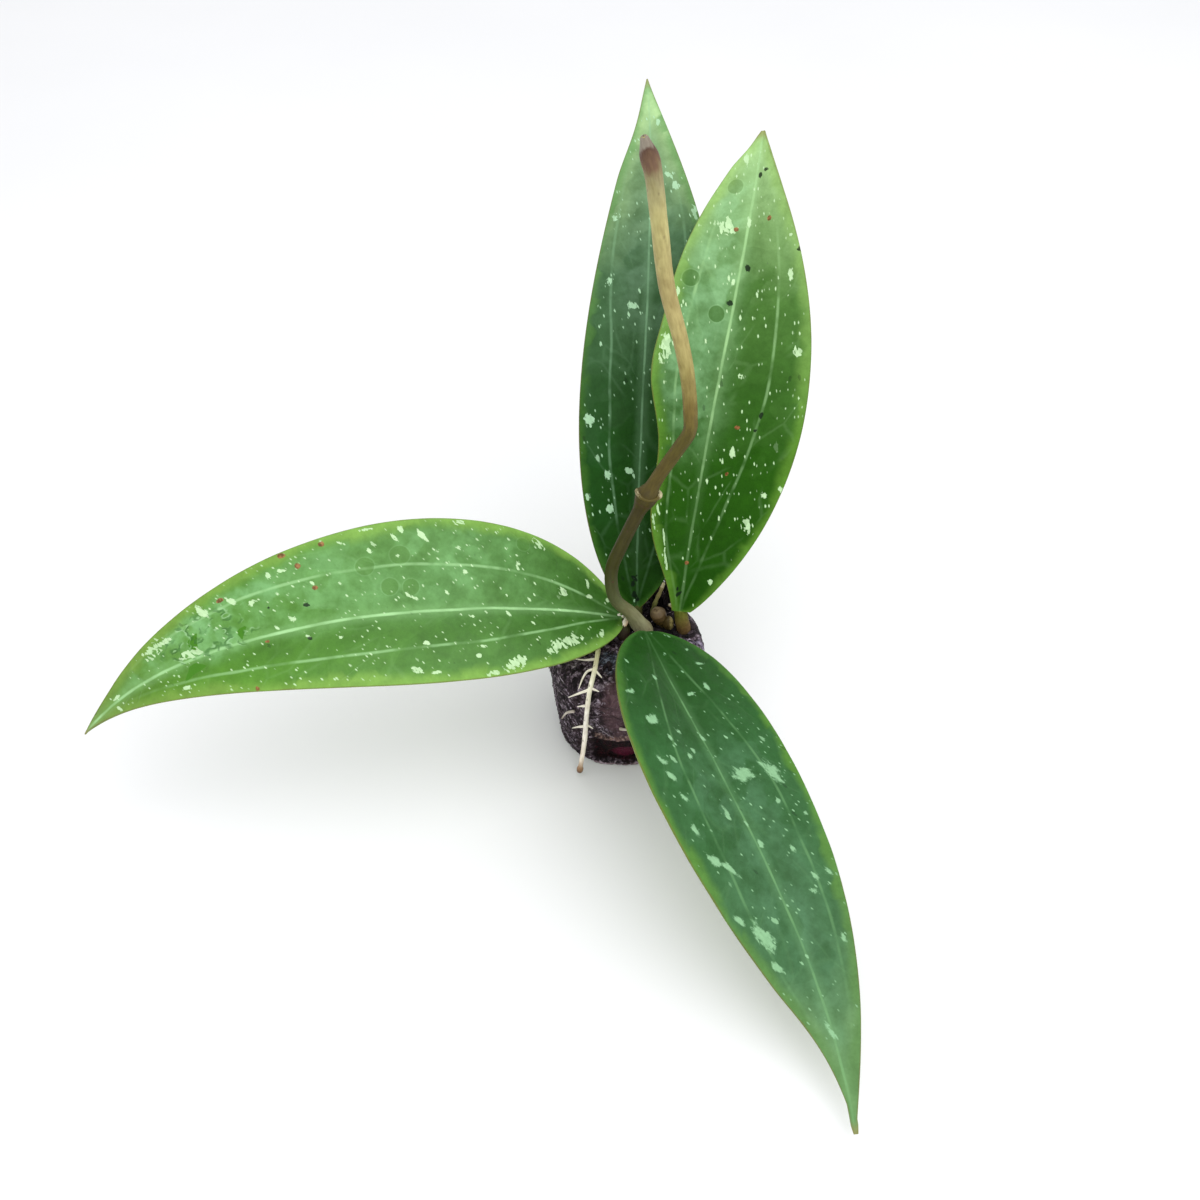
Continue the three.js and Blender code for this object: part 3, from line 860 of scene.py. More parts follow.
    def lay_splashes(self, colour: Reading) -> Reading:
        """Lays the silvery splashes, the lacy ones among them, and scattered flecks."""
        finish = self.finish
        torn = self.ragged.swing(1.7) + self.flake.swing(0.3)
        low, high = 0.56 - finish.splash_soft, 0.56 + finish.splash_soft
        marked = self.step(self.mark(MarkKind.SPLASH) + torn, low, high) * (self.ragged * 0.7 + 0.5)
        if MarkKind.LACE in self.kinds:
            _, bits, more = self.cells(self.shaken(self.tilted, 1.2, 0.5), 1.7)
            field = self.mark(MarkKind.LACE) + self.ragged.swing(0.5)
            lace = self.step(bits * 0.7 + field, 1.0, 1.06) * (more * 0.3 + 0.7)
            marked = marked | lace * 0.92
        towards_tip = self.step(self.along, 0.02, 0.4) * 0.55 + 0.45
        chance = (self.crowd + 0.45) * finish.fleck_share * towards_tip
        dust = self.flecks(3.1, 1.0, chance * 0.26, (0.09, 0.2))
        small = self.flecks(41.7, 2.2, chance * 0.09, (0.12, 0.31))
        dabs = self.flecks(83.3, 6.0, chance * 0.05, (0.3, 0.75))
        flecks = (dust | small | dabs) * self.step(self.to_edge, 0.3, 1.2)
        splash = (marked | flecks) * self.upper
        self.roughness = self.roughness + splash * 0.1
        self.height = self.height + splash * 0.06
        return self.mix(splash, colour, finish.splash)

    def lay_specks(self, colour: Reading) -> Reading:
        """Lays dark specks and a little scattered soot."""
        soot = self.flecks(57.9, 2.4, self.crowd * 0.06 + 0.01, (0.16, 0.4))
        dark = self.mark(MarkKind.SPECK) + self.ragged.swing(1.4) + self.flake.swing(0.4)
        sooty = (soot * 0.4 | self.step(dark, 0.4, 0.6) * 0.9) * self.upper
        return self.mix(sooty, colour, "0e1c10")

    def lay_rust(self, colour: Reading) -> Reading:
        """Lays small rust-brown spots."""
        spot = self.step(self.mark(MarkKind.SPOT) + self.fine.swing(0.8), 0.36, 0.55)
        rust = self.ramp(self.grain, (0.38, "63381f"), (0.66, "a06a44"))
        return self.mix(spot * self.upper * 0.9, colour, rust)

    def lay_ends(self, colour: Reading) -> Reading:
        """Lays the thin brown edge, the dry tip, the paler underside and the stalk."""
        finish = self.finish
        line = self.step(self.to_edge + self.patch.swing(0.9), 0.3, 0.02)
        colour = self.mix(line * 0.4, colour, finish.edge)
        colour = self.mix(self.step(self.along, 0.97, 0.995) * 0.6, colour, "8f7a4a")
        under = self.mix(self.veins * 0.9, finish.below, "c9d8a0")
        under = self.dim(1.0, under, self.ramp(self.cloud, (0.3, "c9c9c9"), (0.7, "ffffff")))
        colour = self.mix(self.step(self.upper, 0.55, 0.3), colour, under)
        stops = zip(STALK_STOPS, finish.stalk)
        stem = self.ramp(self.stalk + self.fine.swing(0.1), *stops)
        stem = self.dim(1.0, stem, self.ramp(self.grain, (0.3, "d6d0c8"), (0.7, "ffffff")))
        return self.mix(self.step(self.stalk, 0.0, 0.04), colour, stem)

    def make(self) -> Material:
        """Lays every layer that this leaf has and makes the material."""
        colour = self.lay_veins(self.lay_ground())
        layers = {
            MarkKind.CLEAR: self.lay_clear_spots,
            MarkKind.WET: self.lay_wet_strokes,
            MarkKind.DROP: self.lay_drops,
            MarkKind.SPLASH: self.lay_splashes,
            MarkKind.SPECK: self.lay_specks,
            MarkKind.SPOT: self.lay_rust,
        }
        for kind, lay in layers.items():
            if kind in self.kinds:
                colour = lay(colour)
        return self.dress(self.lay_ends(colour), self.roughness, self.height, 0.0005)


@dataclass(frozen=True)
class StemFinish:
    """Bark that changes along a stem. Stops are places from foot to tip and screen colours."""

    slot: str
    stops: Stops
    scar: str = "cfc49e"
    fleck: str = "4a3524"
    base_roughness: float = 0.48
    depth: float = 0.00012
    freckles: float = 0.25

    def make(self) -> Material:
        """Makes the material."""
        shader = Shader(self.slot, {"IOR": 1.45, "Specular IOR Level": 0.3})
        along = shader.reading("along")
        grain = shader.triple("grain")
        streaks = shader.clouds(shader.stretched(grain, (1, 1, 0.22)), 1.7, 3, 0.5)
        blots = shader.clouds(shader.stretched(grain, (1, 1, 0.5)), 0.55, 3)
        pores = shader.clouds(grain, 5.5, 2)
        colour = shader.ramp(along + blots.swing(0.05), *self.stops)
        colour = shader.dim(0.7, colour, shader.ramp(streaks, (0.3, "d8d4cc"), (0.65, "ffffff")))
        colour = shader.dim(0.5, colour, shader.ramp(blots, (0.3, "cfc6bb"), (0.6, "ffffff")))
        gap, luck, _ = shader.cells(shader.stretched(grain, (1, 1, 0.7)), 0.8, flat=False)
        freckle = shader.step(gap, 0.3, 0.12) * shader.step(luck, 0.8, 0.86)
        colour = shader.mix(freckle * self.freckles, colour, self.fleck)
        scar = shader.step(shader.reading("scar") + pores.swing(0.6), 0.3, 0.6)
        colour = shader.mix(scar * 0.85, colour, self.scar)
        # Spot: real dark spots, and on the vine also a band of painted shade under the node's rim.
        spot = shader.step(shader.reading("spot"), 0.35, 0.6)
        colour = shader.mix(spot * 0.8, colour, self.fleck)
        roughness = self.base_roughness + streaks * 0.15 + scar * 0.15
        height = streaks * 0.4 + pores * 0.2 + scar * 0.3 - freckle * 0.4
        return shader.dress(colour, roughness, height, self.depth)


@dataclass(frozen=True)
class PlugFinish:
    """Dark damp matted fibre with lilac-grey specks, a smoother patch and a maroon hollow."""

    slot: str = "plug_medium"

    def make(self) -> Material:
        """Makes the material."""
        shader = Shader(self.slot, {"IOR": 1.4, "Specular IOR Level": 0.25})
        place = shader.place()
        names = ("worn", "hollow", "frost", "blue", "lip", "fringe", "shade")
        worn, hollow, frost, blue, lip, fringe, shade = (shader.reading(n) for n in names)
        warp = shader.shaken(place, 420, 0.0018)
        grit = shader.clouds(warp, 1000, 4, 0.7)
        fibre = shader.clouds(shader.stretched(shader.shaken(place, 260, 0.003), (1, 1, 0.5)), 1000, 3, 0.6)
        lumps = shader.clouds(place, 240, 3)
        gap, chips, other = shader.cells(shader.stretched(warp, (1, 1, 0.6)), 820, flat=False)
        mixed = grit * 0.5 + fibre * 0.25 + chips * 0.14 + 0.07
        colour = shader.ramp(
            mixed, (0.38, "070405"), (0.46, "1a1114"), (0.52, "41343c"), (0.58, "776a74"), (0.65, "bbaebd")
        )
        pits = shader.step(shader.clouds(place, 520, 2), 0.44, 0.56)
        colour = shader.dim(0.7, colour, shader.ramp(pits, (0.0, "5f5356"), (1.0, "ffffff")))
        red = shader.step(shader.clouds(place, 130, 2), 0.5, 0.68)
        colour = shader.mix(red * 0.22, colour, "34181f")
        smooth = shader.ramp(lumps * 0.6 + fibre * 0.4, (0.34, "301f23"), (0.5, "493439"), (0.68, "6e545a"))
        smooth = shader.mix(shader.step(grit, 0.55, 0.66) * 0.25, smooth, "8d7880")
        colour = shader.mix(shader.step(worn + lumps.swing(0.5), 0.3, 0.7) * 0.92, colour, smooth)
        bluish = shader.ramp(grit, (0.38, "14161b"), (0.5, "3c414b"), (0.62, "737c8a"), (0.72, "a4adb8"))
        colour = shader.mix(shader.step(blue + lumps.swing(0.9), 0.35, 0.65) * 0.85, colour, bluish)
        specks = shader.step(gap, 0.34, 0.18) * shader.step(other, 0.8, 0.84)
        colour = shader.mix(specks * (1 - worn) * 0.55, colour, "b9adb8")
        icy = shader.ramp(grit, (0.36, "2a2230"), (0.48, "7b6f84"), (0.6, "b5abc4"))
        colour = shader.mix(shader.step(frost + lumps.swing(0.8), 0.4, 0.8) * 0.8, colour, icy)
        tan = shader.ramp(fibre, (0.4, "3c2a28"), (0.55, "8a6d62"), (0.66, "b39a8c"))
        colour = shader.mix(shader.step(fringe + grit.swing(2), 0.4, 0.9) * 0.6, colour, tan)
        # The hollow is painted near black, partly as shade in the recess, and the red glint is a painted
        # deep-red highlight.
        inner = shader.ramp(fibre, (0.4, "080203"), (0.55, "1c060a"), (0.72, "3d0f1a"))
        wine = shader.step(shader.reading("wine") + lumps.swing(0.7), 0.35, 0.75)
        inner = shader.mix(wine * 0.85, inner, "55102a")
        colour = shader.mix(shader.step(hollow, 0.3, 0.7), colour, inner)
        # Painted highlight: a thin pale line along the bottom rim.
        edge = shader.step(lip + grit.swing(1.4), 0.5, 0.8)
        colour = shader.mix(edge * 0.65, colour, "a08a90")
        # Painted shade near the stems' feet, by the reading shade.
        colour = shader.dim(shade, colour, "2a2324")
        roughness = 0.6 + grit * 0.3 - shader.step(fibre, 0.55, 0.8) * 0.2 - wine * hollow * 0.25
        height = grit * 0.7 + fibre * 0.4 + lumps * 0.4
        return shader.dress(colour, roughness, height * (1 - worn * 0.75), 0.001)


@dataclass(frozen=True)
class CrumbFinish:
    """Loose grains and fibres of the rooting medium, or torn flakes of dry skin."""

    name: str
    stops: Stops

    def make(self) -> Material:
        """Makes the material."""
        shader = Shader(self.name, {"IOR": 1.4, "Specular IOR Level": 0.25})
        place = shader.place()
        grit = shader.clouds(place, 900, 3, 0.6)
        mixed = shader.reading("shade") + grit.swing(0.5)
        colour = shader.ramp(mixed, *self.stops)
        return shader.dress(colour, 0.6 + grit * 0.3, grit, 0.0003)


# Leaves


@dataclass(frozen=True)
class Half:
    """One half of a blade: its widest reach, where that lies, and how full its base is.

    The vein lists how far out the side vein lies, as a share of the reach, at places along the
    leaf. The pinch is how much narrower the tip is, and between which places it gets so. The
    flare is how much wider the very base is, in millimetres.
    """

    width: float
    widest_at: float
    fullness: float
    vein: Knots
    pinch: tuple[float, float, float] = (0.0, 0.8, 0.9)
    flare: float = 0.0

    def reach(self, s: Array) -> Array:
        """Gives how far the half reaches from the midrib, in millimetres."""
        tip = self.fullness * (1 - self.widest_at) / self.widest_at
        base_part = (s / self.widest_at) ** self.fullness
        plain = self.width * base_part * ((1 - s) / (1 - self.widest_at)) ** tip
        amount, start, stop = self.pinch
        return plain * (1 - amount * smooth_step(start, stop, s)) + self.flare * np.exp(-s / 0.05)

    def vein_share(self, s: Array) -> Array:
        """Gives how far out the side vein lies, as a share of the reach."""
        spread = np.array(self.vein).T
        near = [np.interp(s + shift, *spread) for shift in (-0.03, 0, 0.03)]
        return sum(near) / 3


@dataclass(frozen=True)
class Ripple:
    """Waves in the left margin of a leaf."""

    size: float
    start: float
    length: float

    def at(self, s: Array) -> Array:
        """Gives the wave along the leaf."""
        wave = np.sin(FULL_TURN * (s - self.start) / self.length)
        return self.size * wave * bell(s - 0.25, 0.28, 4)


@dataclass(frozen=True)
class Mark:
    """A mark on a blade: its place along and across, its length and width in millimetres, and how
    far it leans from the midrib towards the right half, in degrees.
    """

    along: float
    across: float
    length: float
    width: float
    lean: float = 0.0


@dataclass(frozen=True)
class Leaf:
    """One leaf with its stalk. Angles are in degrees at the base, the middle and the tip.

    The cup is how far the margins rise, as a share of the half width. The foot is where the
    stalk enters the plug and its radius there, and the knee lists places that it passes. The
    blunt is half the width of the tip. The drift lists how far the midrib lies off the middle,
    as a share of the half width, at places along the leaf.
    """

    name: str
    node: str
    base: Point
    length: float
    heading: Triple
    pitch: Triple
    roll: Triple
    right: Half
    left: Half
    cup: float
    foot: Triple
    knee: tuple[Point, ...]
    finish: LeafFinish
    marks: dict[MarkKind, list[tuple[float, ...]]]
    seed: float
    ripple: Ripple | None = None
    blunt: float = 0.16
    drift: Knots = ((0, 0), (1, 0))

    def direction(self, s: Array) -> Array:
        """Gives the way that the midrib runs."""
        heading = np.radians(between(self.heading, s))
        pitch = np.radians(between(self.pitch, s))
        flat = np.cos(pitch)
        return np.stack([flat * np.sin(heading), flat * np.cos(heading), np.sin(pitch)], -1)

    def midrib(self, s: Array) -> tuple[Array, Array, Array]:
        """Follows the midrib.

        Args:
            s: How far along, from 0 at the base to 1 at the tip.

        Returns:
            The places, the ways across the blade, and the ways out of its upper face.
        """
        steps = (np.arange(RIB_SAMPLES) + 0.5) / RIB_SAMPLES
        run = np.cumsum(self.direction(steps) * self.length / RIB_SAMPLES, 0)
        line = np.vstack([[0, 0, 0], run]) + np.array(self.base)
        knots = np.arange(RIB_SAMPLES + 1) / RIB_SAMPLES
        places = np.stack([np.interp(s, knots, line[:, k]) for k in range(3)], -1)
        forward = self.direction(s)
        level = unit(np.cross(forward, [0, 0, 1.0]))
        raised = np.cross(level, forward)
        roll = np.radians(between(self.roll, s))[:, None]
        across = level * np.cos(roll) + raised * np.sin(roll)
        out = raised * np.cos(roll) - level * np.sin(roll)
        return places, across, out

    def half_width(self, s: Array, v: Array) -> Array:
        """Gives the reach of the half that v lies in, in millimetres."""
        left = self.left.reach(s)
        if self.ripple:
            left = left * (1 + self.ripple.at(s))
        least = THINNEST + (self.blunt - THINNEST) * np.sqrt(np.clip((1 - s) / 0.02, 0, 1))
        return np.maximum(np.where(v > 0, self.right.reach(s), left), least)

    def side_vein(self, s: Array, v: Array) -> Array:
        """Gives how far out the side vein lies on the half that v lies in."""
        return np.where(v > 0, self.right.vein_share(s), self.left.vein_share(s))

    def vein_gaps(self, s: Array, v: Array, half: Array) -> tuple[Array, Array]:
        """Gives how far each place lies from the veins, which wander a little.

        Args:
            s: How far along each place lies.
            v: How far across it lies.
            half: The half width there.

        Returns:
            The distances in millimetres to the midrib and to the nearer side vein.
        """
        run = s * self.length
        wander = 0.35 * ripples(np.c_[run, np.sign(v) * 40, 0 * s], 11, self.seed + 9)
        middle = np.interp(s, *np.array(self.drift).T) * (self.right.reach(s) + self.left.reach(s)) / 2
        rib = v * half - middle + 0.12 * ripples(np.c_[run, 0 * s, 0 * s], 9, self.seed)
        vein = np.abs((np.abs(v) - self.side_vein(s, v)) * half + wander)
        return rib, vein

    def rise(self, s: Array, v: Array, half: Array) -> Array:
        """Gives how far the upper face stands over the midrib's line, in millimetres."""
        off = np.abs(v)
        rib, vein = self.vein_gaps(s, v, half)
        lift = self.cup * half * off**1.4
        middle = 0.08 * np.minimum(1, 1.6 * (1 - s) ** 0.6) * bell(rib, 0.8)
        beside = 0.04 * bell(vein, 0.6) * smooth_step(0, 0.12, s) * (1 - smooth_step(0.65, 0.95, s))
        crown = 0.035 * half * np.sin(math.pi * np.minimum(1, off / 0.94)) ** 2
        curl = 6 * self.ripple.at(s) * off**3 * (v < 0) if self.ripple else 0
        return lift + middle + beside + crown + curl

    @staticmethod
    def thickness(s: Array, v: Array, half: Array) -> Array:
        """Gives the blade's thickness with the keel under its midrib, in millimetres."""
        fade = 1 - smooth_step(0.75, 1.02, s)
        body = 0.7 + 0.5 * (1 - np.abs(v) ** 1.5) * (0.3 + 0.7 * fade)
        keel = 0.9 * np.maximum(1 - s, 0) ** 0.7 * bell(v * half, 1.1)
        return body * (1 - 0.55 * smooth_step(0.95, 1, s)) + keel

    def across_places(self, s: Array, even: Array) -> Array:
        """Spaces the columns of a blade more closely at its veins and margins.

        Args:
            s: How far along each vertex lies.
            even: Its even place across, from 0 to 1.

        Returns:
            How far across each vertex lies, from -1 to 1.
        """
        v = np.linspace(-1, 1, 2 * COLUMN_SAMPLES - 1)
        off = np.abs(v)
        density = 1 + 2.2 * bell(v, 0.035) + 1.1 * bell(off - 1, 0.07)
        density += 1.6 * bell(off - VEIN_COLUMN, 0.045)
        share = np.cumsum(density)
        share = (share - share[0]) / (share[-1] - share[0])
        knots = np.linspace(0, 1, COLUMN_SAMPLES)
        w = np.interp(even, knots, np.interp(knots, share, v))
        off = np.abs(w)
        vein = self.side_vein(s, w)
        outer = vein + (off - VEIN_COLUMN) * (1 - vein) / (1 - VEIN_COLUMN)
        return np.sign(w) * np.where(off < VEIN_COLUMN, off * vein / VEIN_COLUMN, outer)

    def shape_blade(self) -> Piece:
        """Builds the blade as a closed slab with rounded margins and stores its readings."""
        blade = add_grid(self.name, BLADE_ROWS, BLADE_COLUMNS, thick=True)
        x, y, z = places_of(blade).T
        even, depth = (x + 1) / 2, -z
        s = 0.004 + 0.991 * (0.45 * even + 0.55 * (0.5 - 0.5 * np.cos(math.pi * even)))
        v = self.across_places(s, (y + 1) / 2)
        half = self.half_width(s, v)
        places, across, out = self.midrib(s)
        folded = (np.abs(depth - 0.5) > 0.25) & (np.abs(v) > 0.999)
        reach = v * half - np.where(folded, np.minimum(0.22, 0.4 * half) * np.sign(v), 0)
        lift = self.rise(s, v, half) - depth * self.thickness(s, v, half)
        places = places + across * reach[:, None] + out * lift[:, None]
        swell = 0.32 * ripples(places, 17, self.seed) + 0.1 * ripples(places, 6, self.seed + 5)
        swell = swell * smooth_step(0.0, 0.12, s) * smooth_step(1.0, 0.9, s)
        put_places(blade, places + out * swell[:, None])
        rib, gap = self.vein_gaps(s, v, half)
        upper = 1 - smooth_step(0.25, 0.75, depth)
        readings = {"along": s, "across": v, "half": half, "rib": rib, "vein": gap, "run": s * self.length}
        readings |= {kind.value: self.mark_field(kind, s, v, half) for kind in self.marks}
        put_readings(blade, {**readings, "upper": upper, "stalk": 0})
        close_up(blade)
        return blade

    def mark_field(self, kind: MarkKind, s: Array, v: Array, half: Array) -> Array:
        """Works out how strongly the marks of one kind show.

        Args:
            kind: The kind of mark.
            s: How far along each vertex lies.
            v: How far across it lies.
            half: The half width there.

        Returns:
            For each vertex 0.5 at the rim of a mark and 1 in its middle, or for drops the
            distance inside the rim in millimetres.
        """
        field = np.full(len(s), kind.absent)
        for mark in (Mark(*m) for m in self.marks[kind]):
            there = mark.across * self.half_width(np.array([mark.along]), np.array([mark.across]))
            forward, sideways = (s - mark.along) * self.length, v * half - there
            cos, sin = math.cos(math.radians(mark.lean)), math.sin(math.radians(mark.lean))
            long = (forward * cos + sideways * sin) / (mark.length / 2)
            wide = (sideways * cos - forward * sin) / (mark.width / 2)
            if kind is MarkKind.DROP:
                here = (1 - np.hypot(long, wide)) * mark.width / 2
            elif kind is MarkKind.CLEAR:
                here = 1 - 0.5 * np.maximum(np.abs(wide), np.abs(long) + 0.5 * wide + 0.2)
            else:
                here = np.exp(-MARK_FALL * (long**2 + wide**2))
            field = np.maximum(field, here)
        return field

    def shape_stalk(self) -> Piece:
        """Builds the stalk, from its hole in the plug up into the keel of the blade."""
        x, y, radius = self.foot
        rib, _, out = self.midrib(np.array([0.012, 0.03, 0.055, 0.09]))
        under = rib - out * np.array([[1.85], [1.65], [1.45], [1.2]])
        foot = [(x, y, PLUG_TOP - SUNK), (x, y, PLUG_TOP + 0.6)]
        stations, _ = smooth_route([*foot, *self.knee, *map(tuple, under)], STALK_STATIONS)
        t = np.linspace(0, 1, STALK_STATIONS)
        thicken = (PETIOLE_RADIUS - radius) * smooth_step(0.2, 0.5, t)
        radii = radius + thicken - 1.05 * smooth_step(0.45, 1, t)
        stalk = add_tube(f"{self.name}_stalk", stations, radii)
        leaving = np.argmin(gaps(stations, under[0])) / (STALK_STATIONS - 1)
        share = np.clip(1.05 - read_back(stalk, "along") / leaving, 0.05, 1)
        readings = {"along": 0.05, "across": 0, "half": 1, "run": 0, "upper": 1, "rib": 9, "vein": 9}
        readings |= {kind.value: kind.absent for kind in self.marks}
        put_readings(stalk, {**readings, "stalk": share})
        close_up(stalk)
        return stalk

    def build(self) -> None:
        """Builds and dresses the leaf."""
        leaf = join_all([self.shape_blade(), self.shape_stalk()], self.name)
        smooth_over(leaf)
        finish_piece(leaf, LeafSkin(self.finish, self.marks).make(), self.finish.slot, self.node)


LEFT_LEAF = Leaf(
    name="left_leaf", node="leaf_left", base=(-0.5, 3.5, 39.5), length=154,
    heading=(-110, -102, -92), pitch=(31, -3, -51), roll=(16, 33, 28),
    right=Half(
        22.5, 0.33, 0.6,
        ((0, 0.15), (0.07, 0.34), (0.17, 0.43), (0.35, 0.48), (0.53, 0.56), (0.63, 0.63), (1, 0.8)),
    ),
    left=Half(
        19, 0.32, 0.65, ((0, 0.15), (0.12, 0.35), (0.24, 0.48), (0.5, 0.56), (0.63, 0.54), (1, 0.4))
    ),
    drift=((0, 0), (0.3, -0.03), (0.6, 0), (0.81, 0.08), (0.91, 0.15), (1, 0)), cup=0.12,
    foot=(-0.7, 0.6, 1.6), knee=((-0.6, 1.8, 38),), seed=1.3,
    finish=LeafFinish(
        slot="leaf_mid_green", deep="326218", body="55853c", far="5c9230", tip="628a26",
        sheen="7cb270", margin="84b24e", margin_tip="74963c", vein="a4d494", vein_share=1.0,
        vein_fade=0.1, sheen_run=(0.08, 0.95), sheen_share=0.75, margin_width=4.0, lean=50.0,
    ),
    marks={
        MarkKind.LACE: [
            (0.29, 0.95, 4.5, 1.3, 15), (0.16, 0.89, 4.5, 1.8, 40), (0.12, 0.28, 3.5, 1.8, 20),
            (0.15, -0.7, 6.9, 3.4, -35), (0.12, -0.64, 7.6, 2.9, -30), (0.22, -0.84, 7.3, 3.4, -30),
            (0.26, -0.95, 3.2, 1.3, -10), (0.06, -0.64, 3.6, 1.8, -35), (0.79, 0.73, 6.6, 3.9, -15),
            (0.73, 0.16, 6.8, 2.1),
        ],
        MarkKind.SPLASH: [
            (0.35, 0.81, 4.2, 1.3, 55), (0.38, 0.89, 1.7, 1.2, 90), (0.39, 0.8, 3, 0.9, 50),
            (0.2, 0.52, 2.3, 1.2, 80), (0.2, 0.65, 0.9, 0.9, 90), (0.29, 0.38, 1.2, 1.2, 65),
            (0.38, 0.17, 1.8, 0.9, 35), (0.39, 0.6, 1, 1, 90), (0.58, 0.78, 2, 0.9, 60),
            (0.56, 0.77, 2.1, 0.9, 10), (0.61, 0.51, 2.3, 1.4, -5), (0.64, 0.65, 2.4, 1.2, 40),
            (0.69, 0.74, 3.9, 2.1, 55), (0.75, -0.68, 2.2, 1.2), (0.56, 0.15, 2, 1.1, 60),
            (0.38, -0.81, 2.9, 1.6, 30), (0.35, -0.86, 2.8, 0.9, -5), (0.37, 0.13, 2.6, 0.9, 25),
            (0.22, -0.11, 1.8, 0.9, 55), (0.76, 0.67, 3.4, 1.1, 5), (0.54, -0.16, 1.7, 0.9, 30),
            (0.33, 0.64, 2.2, 0.9, 65), (0.28, -0.14, 1.2, 0.9), (0.3, -0.1, 0.9, 0.9, 50),
            (0.89, -0.5, 2.7, 0.9, 50), (0.89, 0.29, 2.7, 0.9, -5), (0.43, 0.71, 1.9, 0.9, 65),
            (0.36, -0.46, 1.5, 0.9, 10), (0.43, 0.95, 2.6, 0.8), (0.47, 0.87, 1.4, 0.9, 40),
            (0.07, 0.59, 1.1, 2.8), (0.07, 0.33, 2.1, 1), (0.27, -0.57, 1.5, 1),
            (0.28, -0.69, 1.7, 1.2), (0.49, -0.26, 1.2, 1), (0.03, 0.51, 1.8, 1.2),
        ],
        MarkKind.SPOT: [
            (0.555, 0.95, 1.7, 1.3), (0.497, 0.92, 1.3, 1.2), (0.535, 0.75, 1.2, 1.2),
            (0.515, 0.43, 1.2, 1.2), (0.632, -0.95, 1, 1.2), (0.604, -0.1, 0.9, 0.9),
            (0.658, 0.76, 1.8, 1),
        ],
        MarkKind.SPECK: [(0.533, 0.26, 1.2, 0.9), (0.537, -0.2, 1.1, 1), (0.59, 0.36, 0.9, 0.8)],
        MarkKind.DROP: [
            (0.439, 0.54, 4.2, 4.2), (0.386, 0.61, 4.6, 4.6), (0.406, 0.28, 4, 4),
            (0.374, 0.25, 3.8, 3.8), (0.187, 0.81, 3.4, 3.4),
        ],
        MarkKind.CLEAR: [
            (0.72, 0.32, 4.1, 2.4, -70), (0.73, -0.22, 5.2, 2.6, -15), (0.64, 0.17, 3.1, 1.8, -55),
        ],
        MarkKind.WET: [(0.69, 0.32, 26, 11)],
        # Patches of painted sheen.
        MarkKind.SHEEN_PATCH: [(0.7, 0.35, 26, 12), (0.62, 0.6, 18, 8)],
    },
)

FRONT_LEAF = Leaf(
    name="front_leaf", node="leaf_front", base=(4.5, -6, 45), length=127, heading=(162, 154, 173),
    pitch=(-1, -22, -28), roll=(24, 15, -25),
    right=Half(
        22.5, 0.32, 0.71,
        ((0, 0.08), (0.07, 0.18), (0.17, 0.34), (0.29, 0.48), (0.46, 0.55), (0.6, 0.62), (1, 0.8)),
        pinch=(0.22, 0.72, 0.9),
    ),
    left=Half(
        21.5, 0.29, 0.49, ((0, 0.12), (0.1, 0.27), (0.19, 0.4), (0.37, 0.58), (0.6, 0.62), (1, 0.7))
    ),
    cup=0.1, blunt=0.8, foot=(3.9, -3.9, 1.6), knee=((4, -4, 40),), seed=7.9,
    finish=LeafFinish(
        slot="leaf_dark_green", deep="1e4812", body="2e5f2c", far="467148", tip="7ea66c",
        sheen="64926f", margin="5a8a34", margin_tip="5e8650", margin_base="3c6c2c", vein="7aac72",
        splash="8cba8c", sheen_hand=0.0, sheen_run=(0.15, 0.96), sheen_share=0.4, dark_hand=0.0,
        margin_width=3.2, fleck_share=0.6, lean=-28.0, gloss=0.12, vein_fade=0.2, splash_soft=0.2,
    ),
    marks={
        MarkKind.SPLASH: [
            (0.22, 0.6, 3.2, 2.4, -80), (0.36, -0.27, 4.9, 3.4, -60), (0.37, -0.64, 6.6, 3.4, -25),
            (0.42, 0.2, 3.2, 1.3, -5), (0.49, 0.69, 3.9, 1.8, -35), (0.51, 0.57, 4.4, 1.5, -35),
            (0.6, 0.82, 3.4, 1.3, -40), (0.64, 0.6, 7.3, 2.9, -20), (0.7, 0.67, 3.6, 1.4, -40),
            (0.83, 0.05, 4.5, 1.3, -20), (0.43, 0.72, 3.1, 1.4, -30), (0.3, 0.7, 2.9, 1.3, -45),
            (0.33, 0.67, 2.6, 1.3, -40), (0.37, 0.65, 2.5, 1.3, -35), (0.43, -0.53, 1.6, 1.2, -15),
            (0.47, -0.83, 1.4, 1.2, -15), (0.6, -0.48, 2.2, 1.2, -50), (0.58, -0.84, 2.7, 1.1, -35),
            (0.58, -0.61, 2, 1.1, -25), (0.17, -0.2, 2.7, 0.9, 90), (0.16, 0.76, 1.4, 1.1, -25),
            (0.16, 0.85, 1.7, 0.9, 90), (0.13, 0.29, 1.6, 1.1, -15), (0.02, -0.67, 1.5, 0.9, -50),
            (0.06, -0.66, 1, 0.9, -45), (0.1, -0.63, 2.4, 0.9, -85), (0.16, -0.46, 2.9, 1.2, -5),
            (0.3, 0.31, 1.9, 1.1, -35), (0.29, 0.21, 1.5, 0.9, -35), (0.26, 0.47, 1.7, 0.9, -25),
            (0.25, 0.3, 1.6, 0.9, -55), (0.27, -0.01, 1.7, 0.9, -25), (0.49, -0.05, 1.8, 1.1, -5),
            (0.45, 0, 1.6, 0.9, -20), (0.52, -0.44, 1.8, 0.9, -10), (0.69, -0.79, 2.3, 0.9, -5),
        ],
        MarkKind.SPECK: [],
    },
)

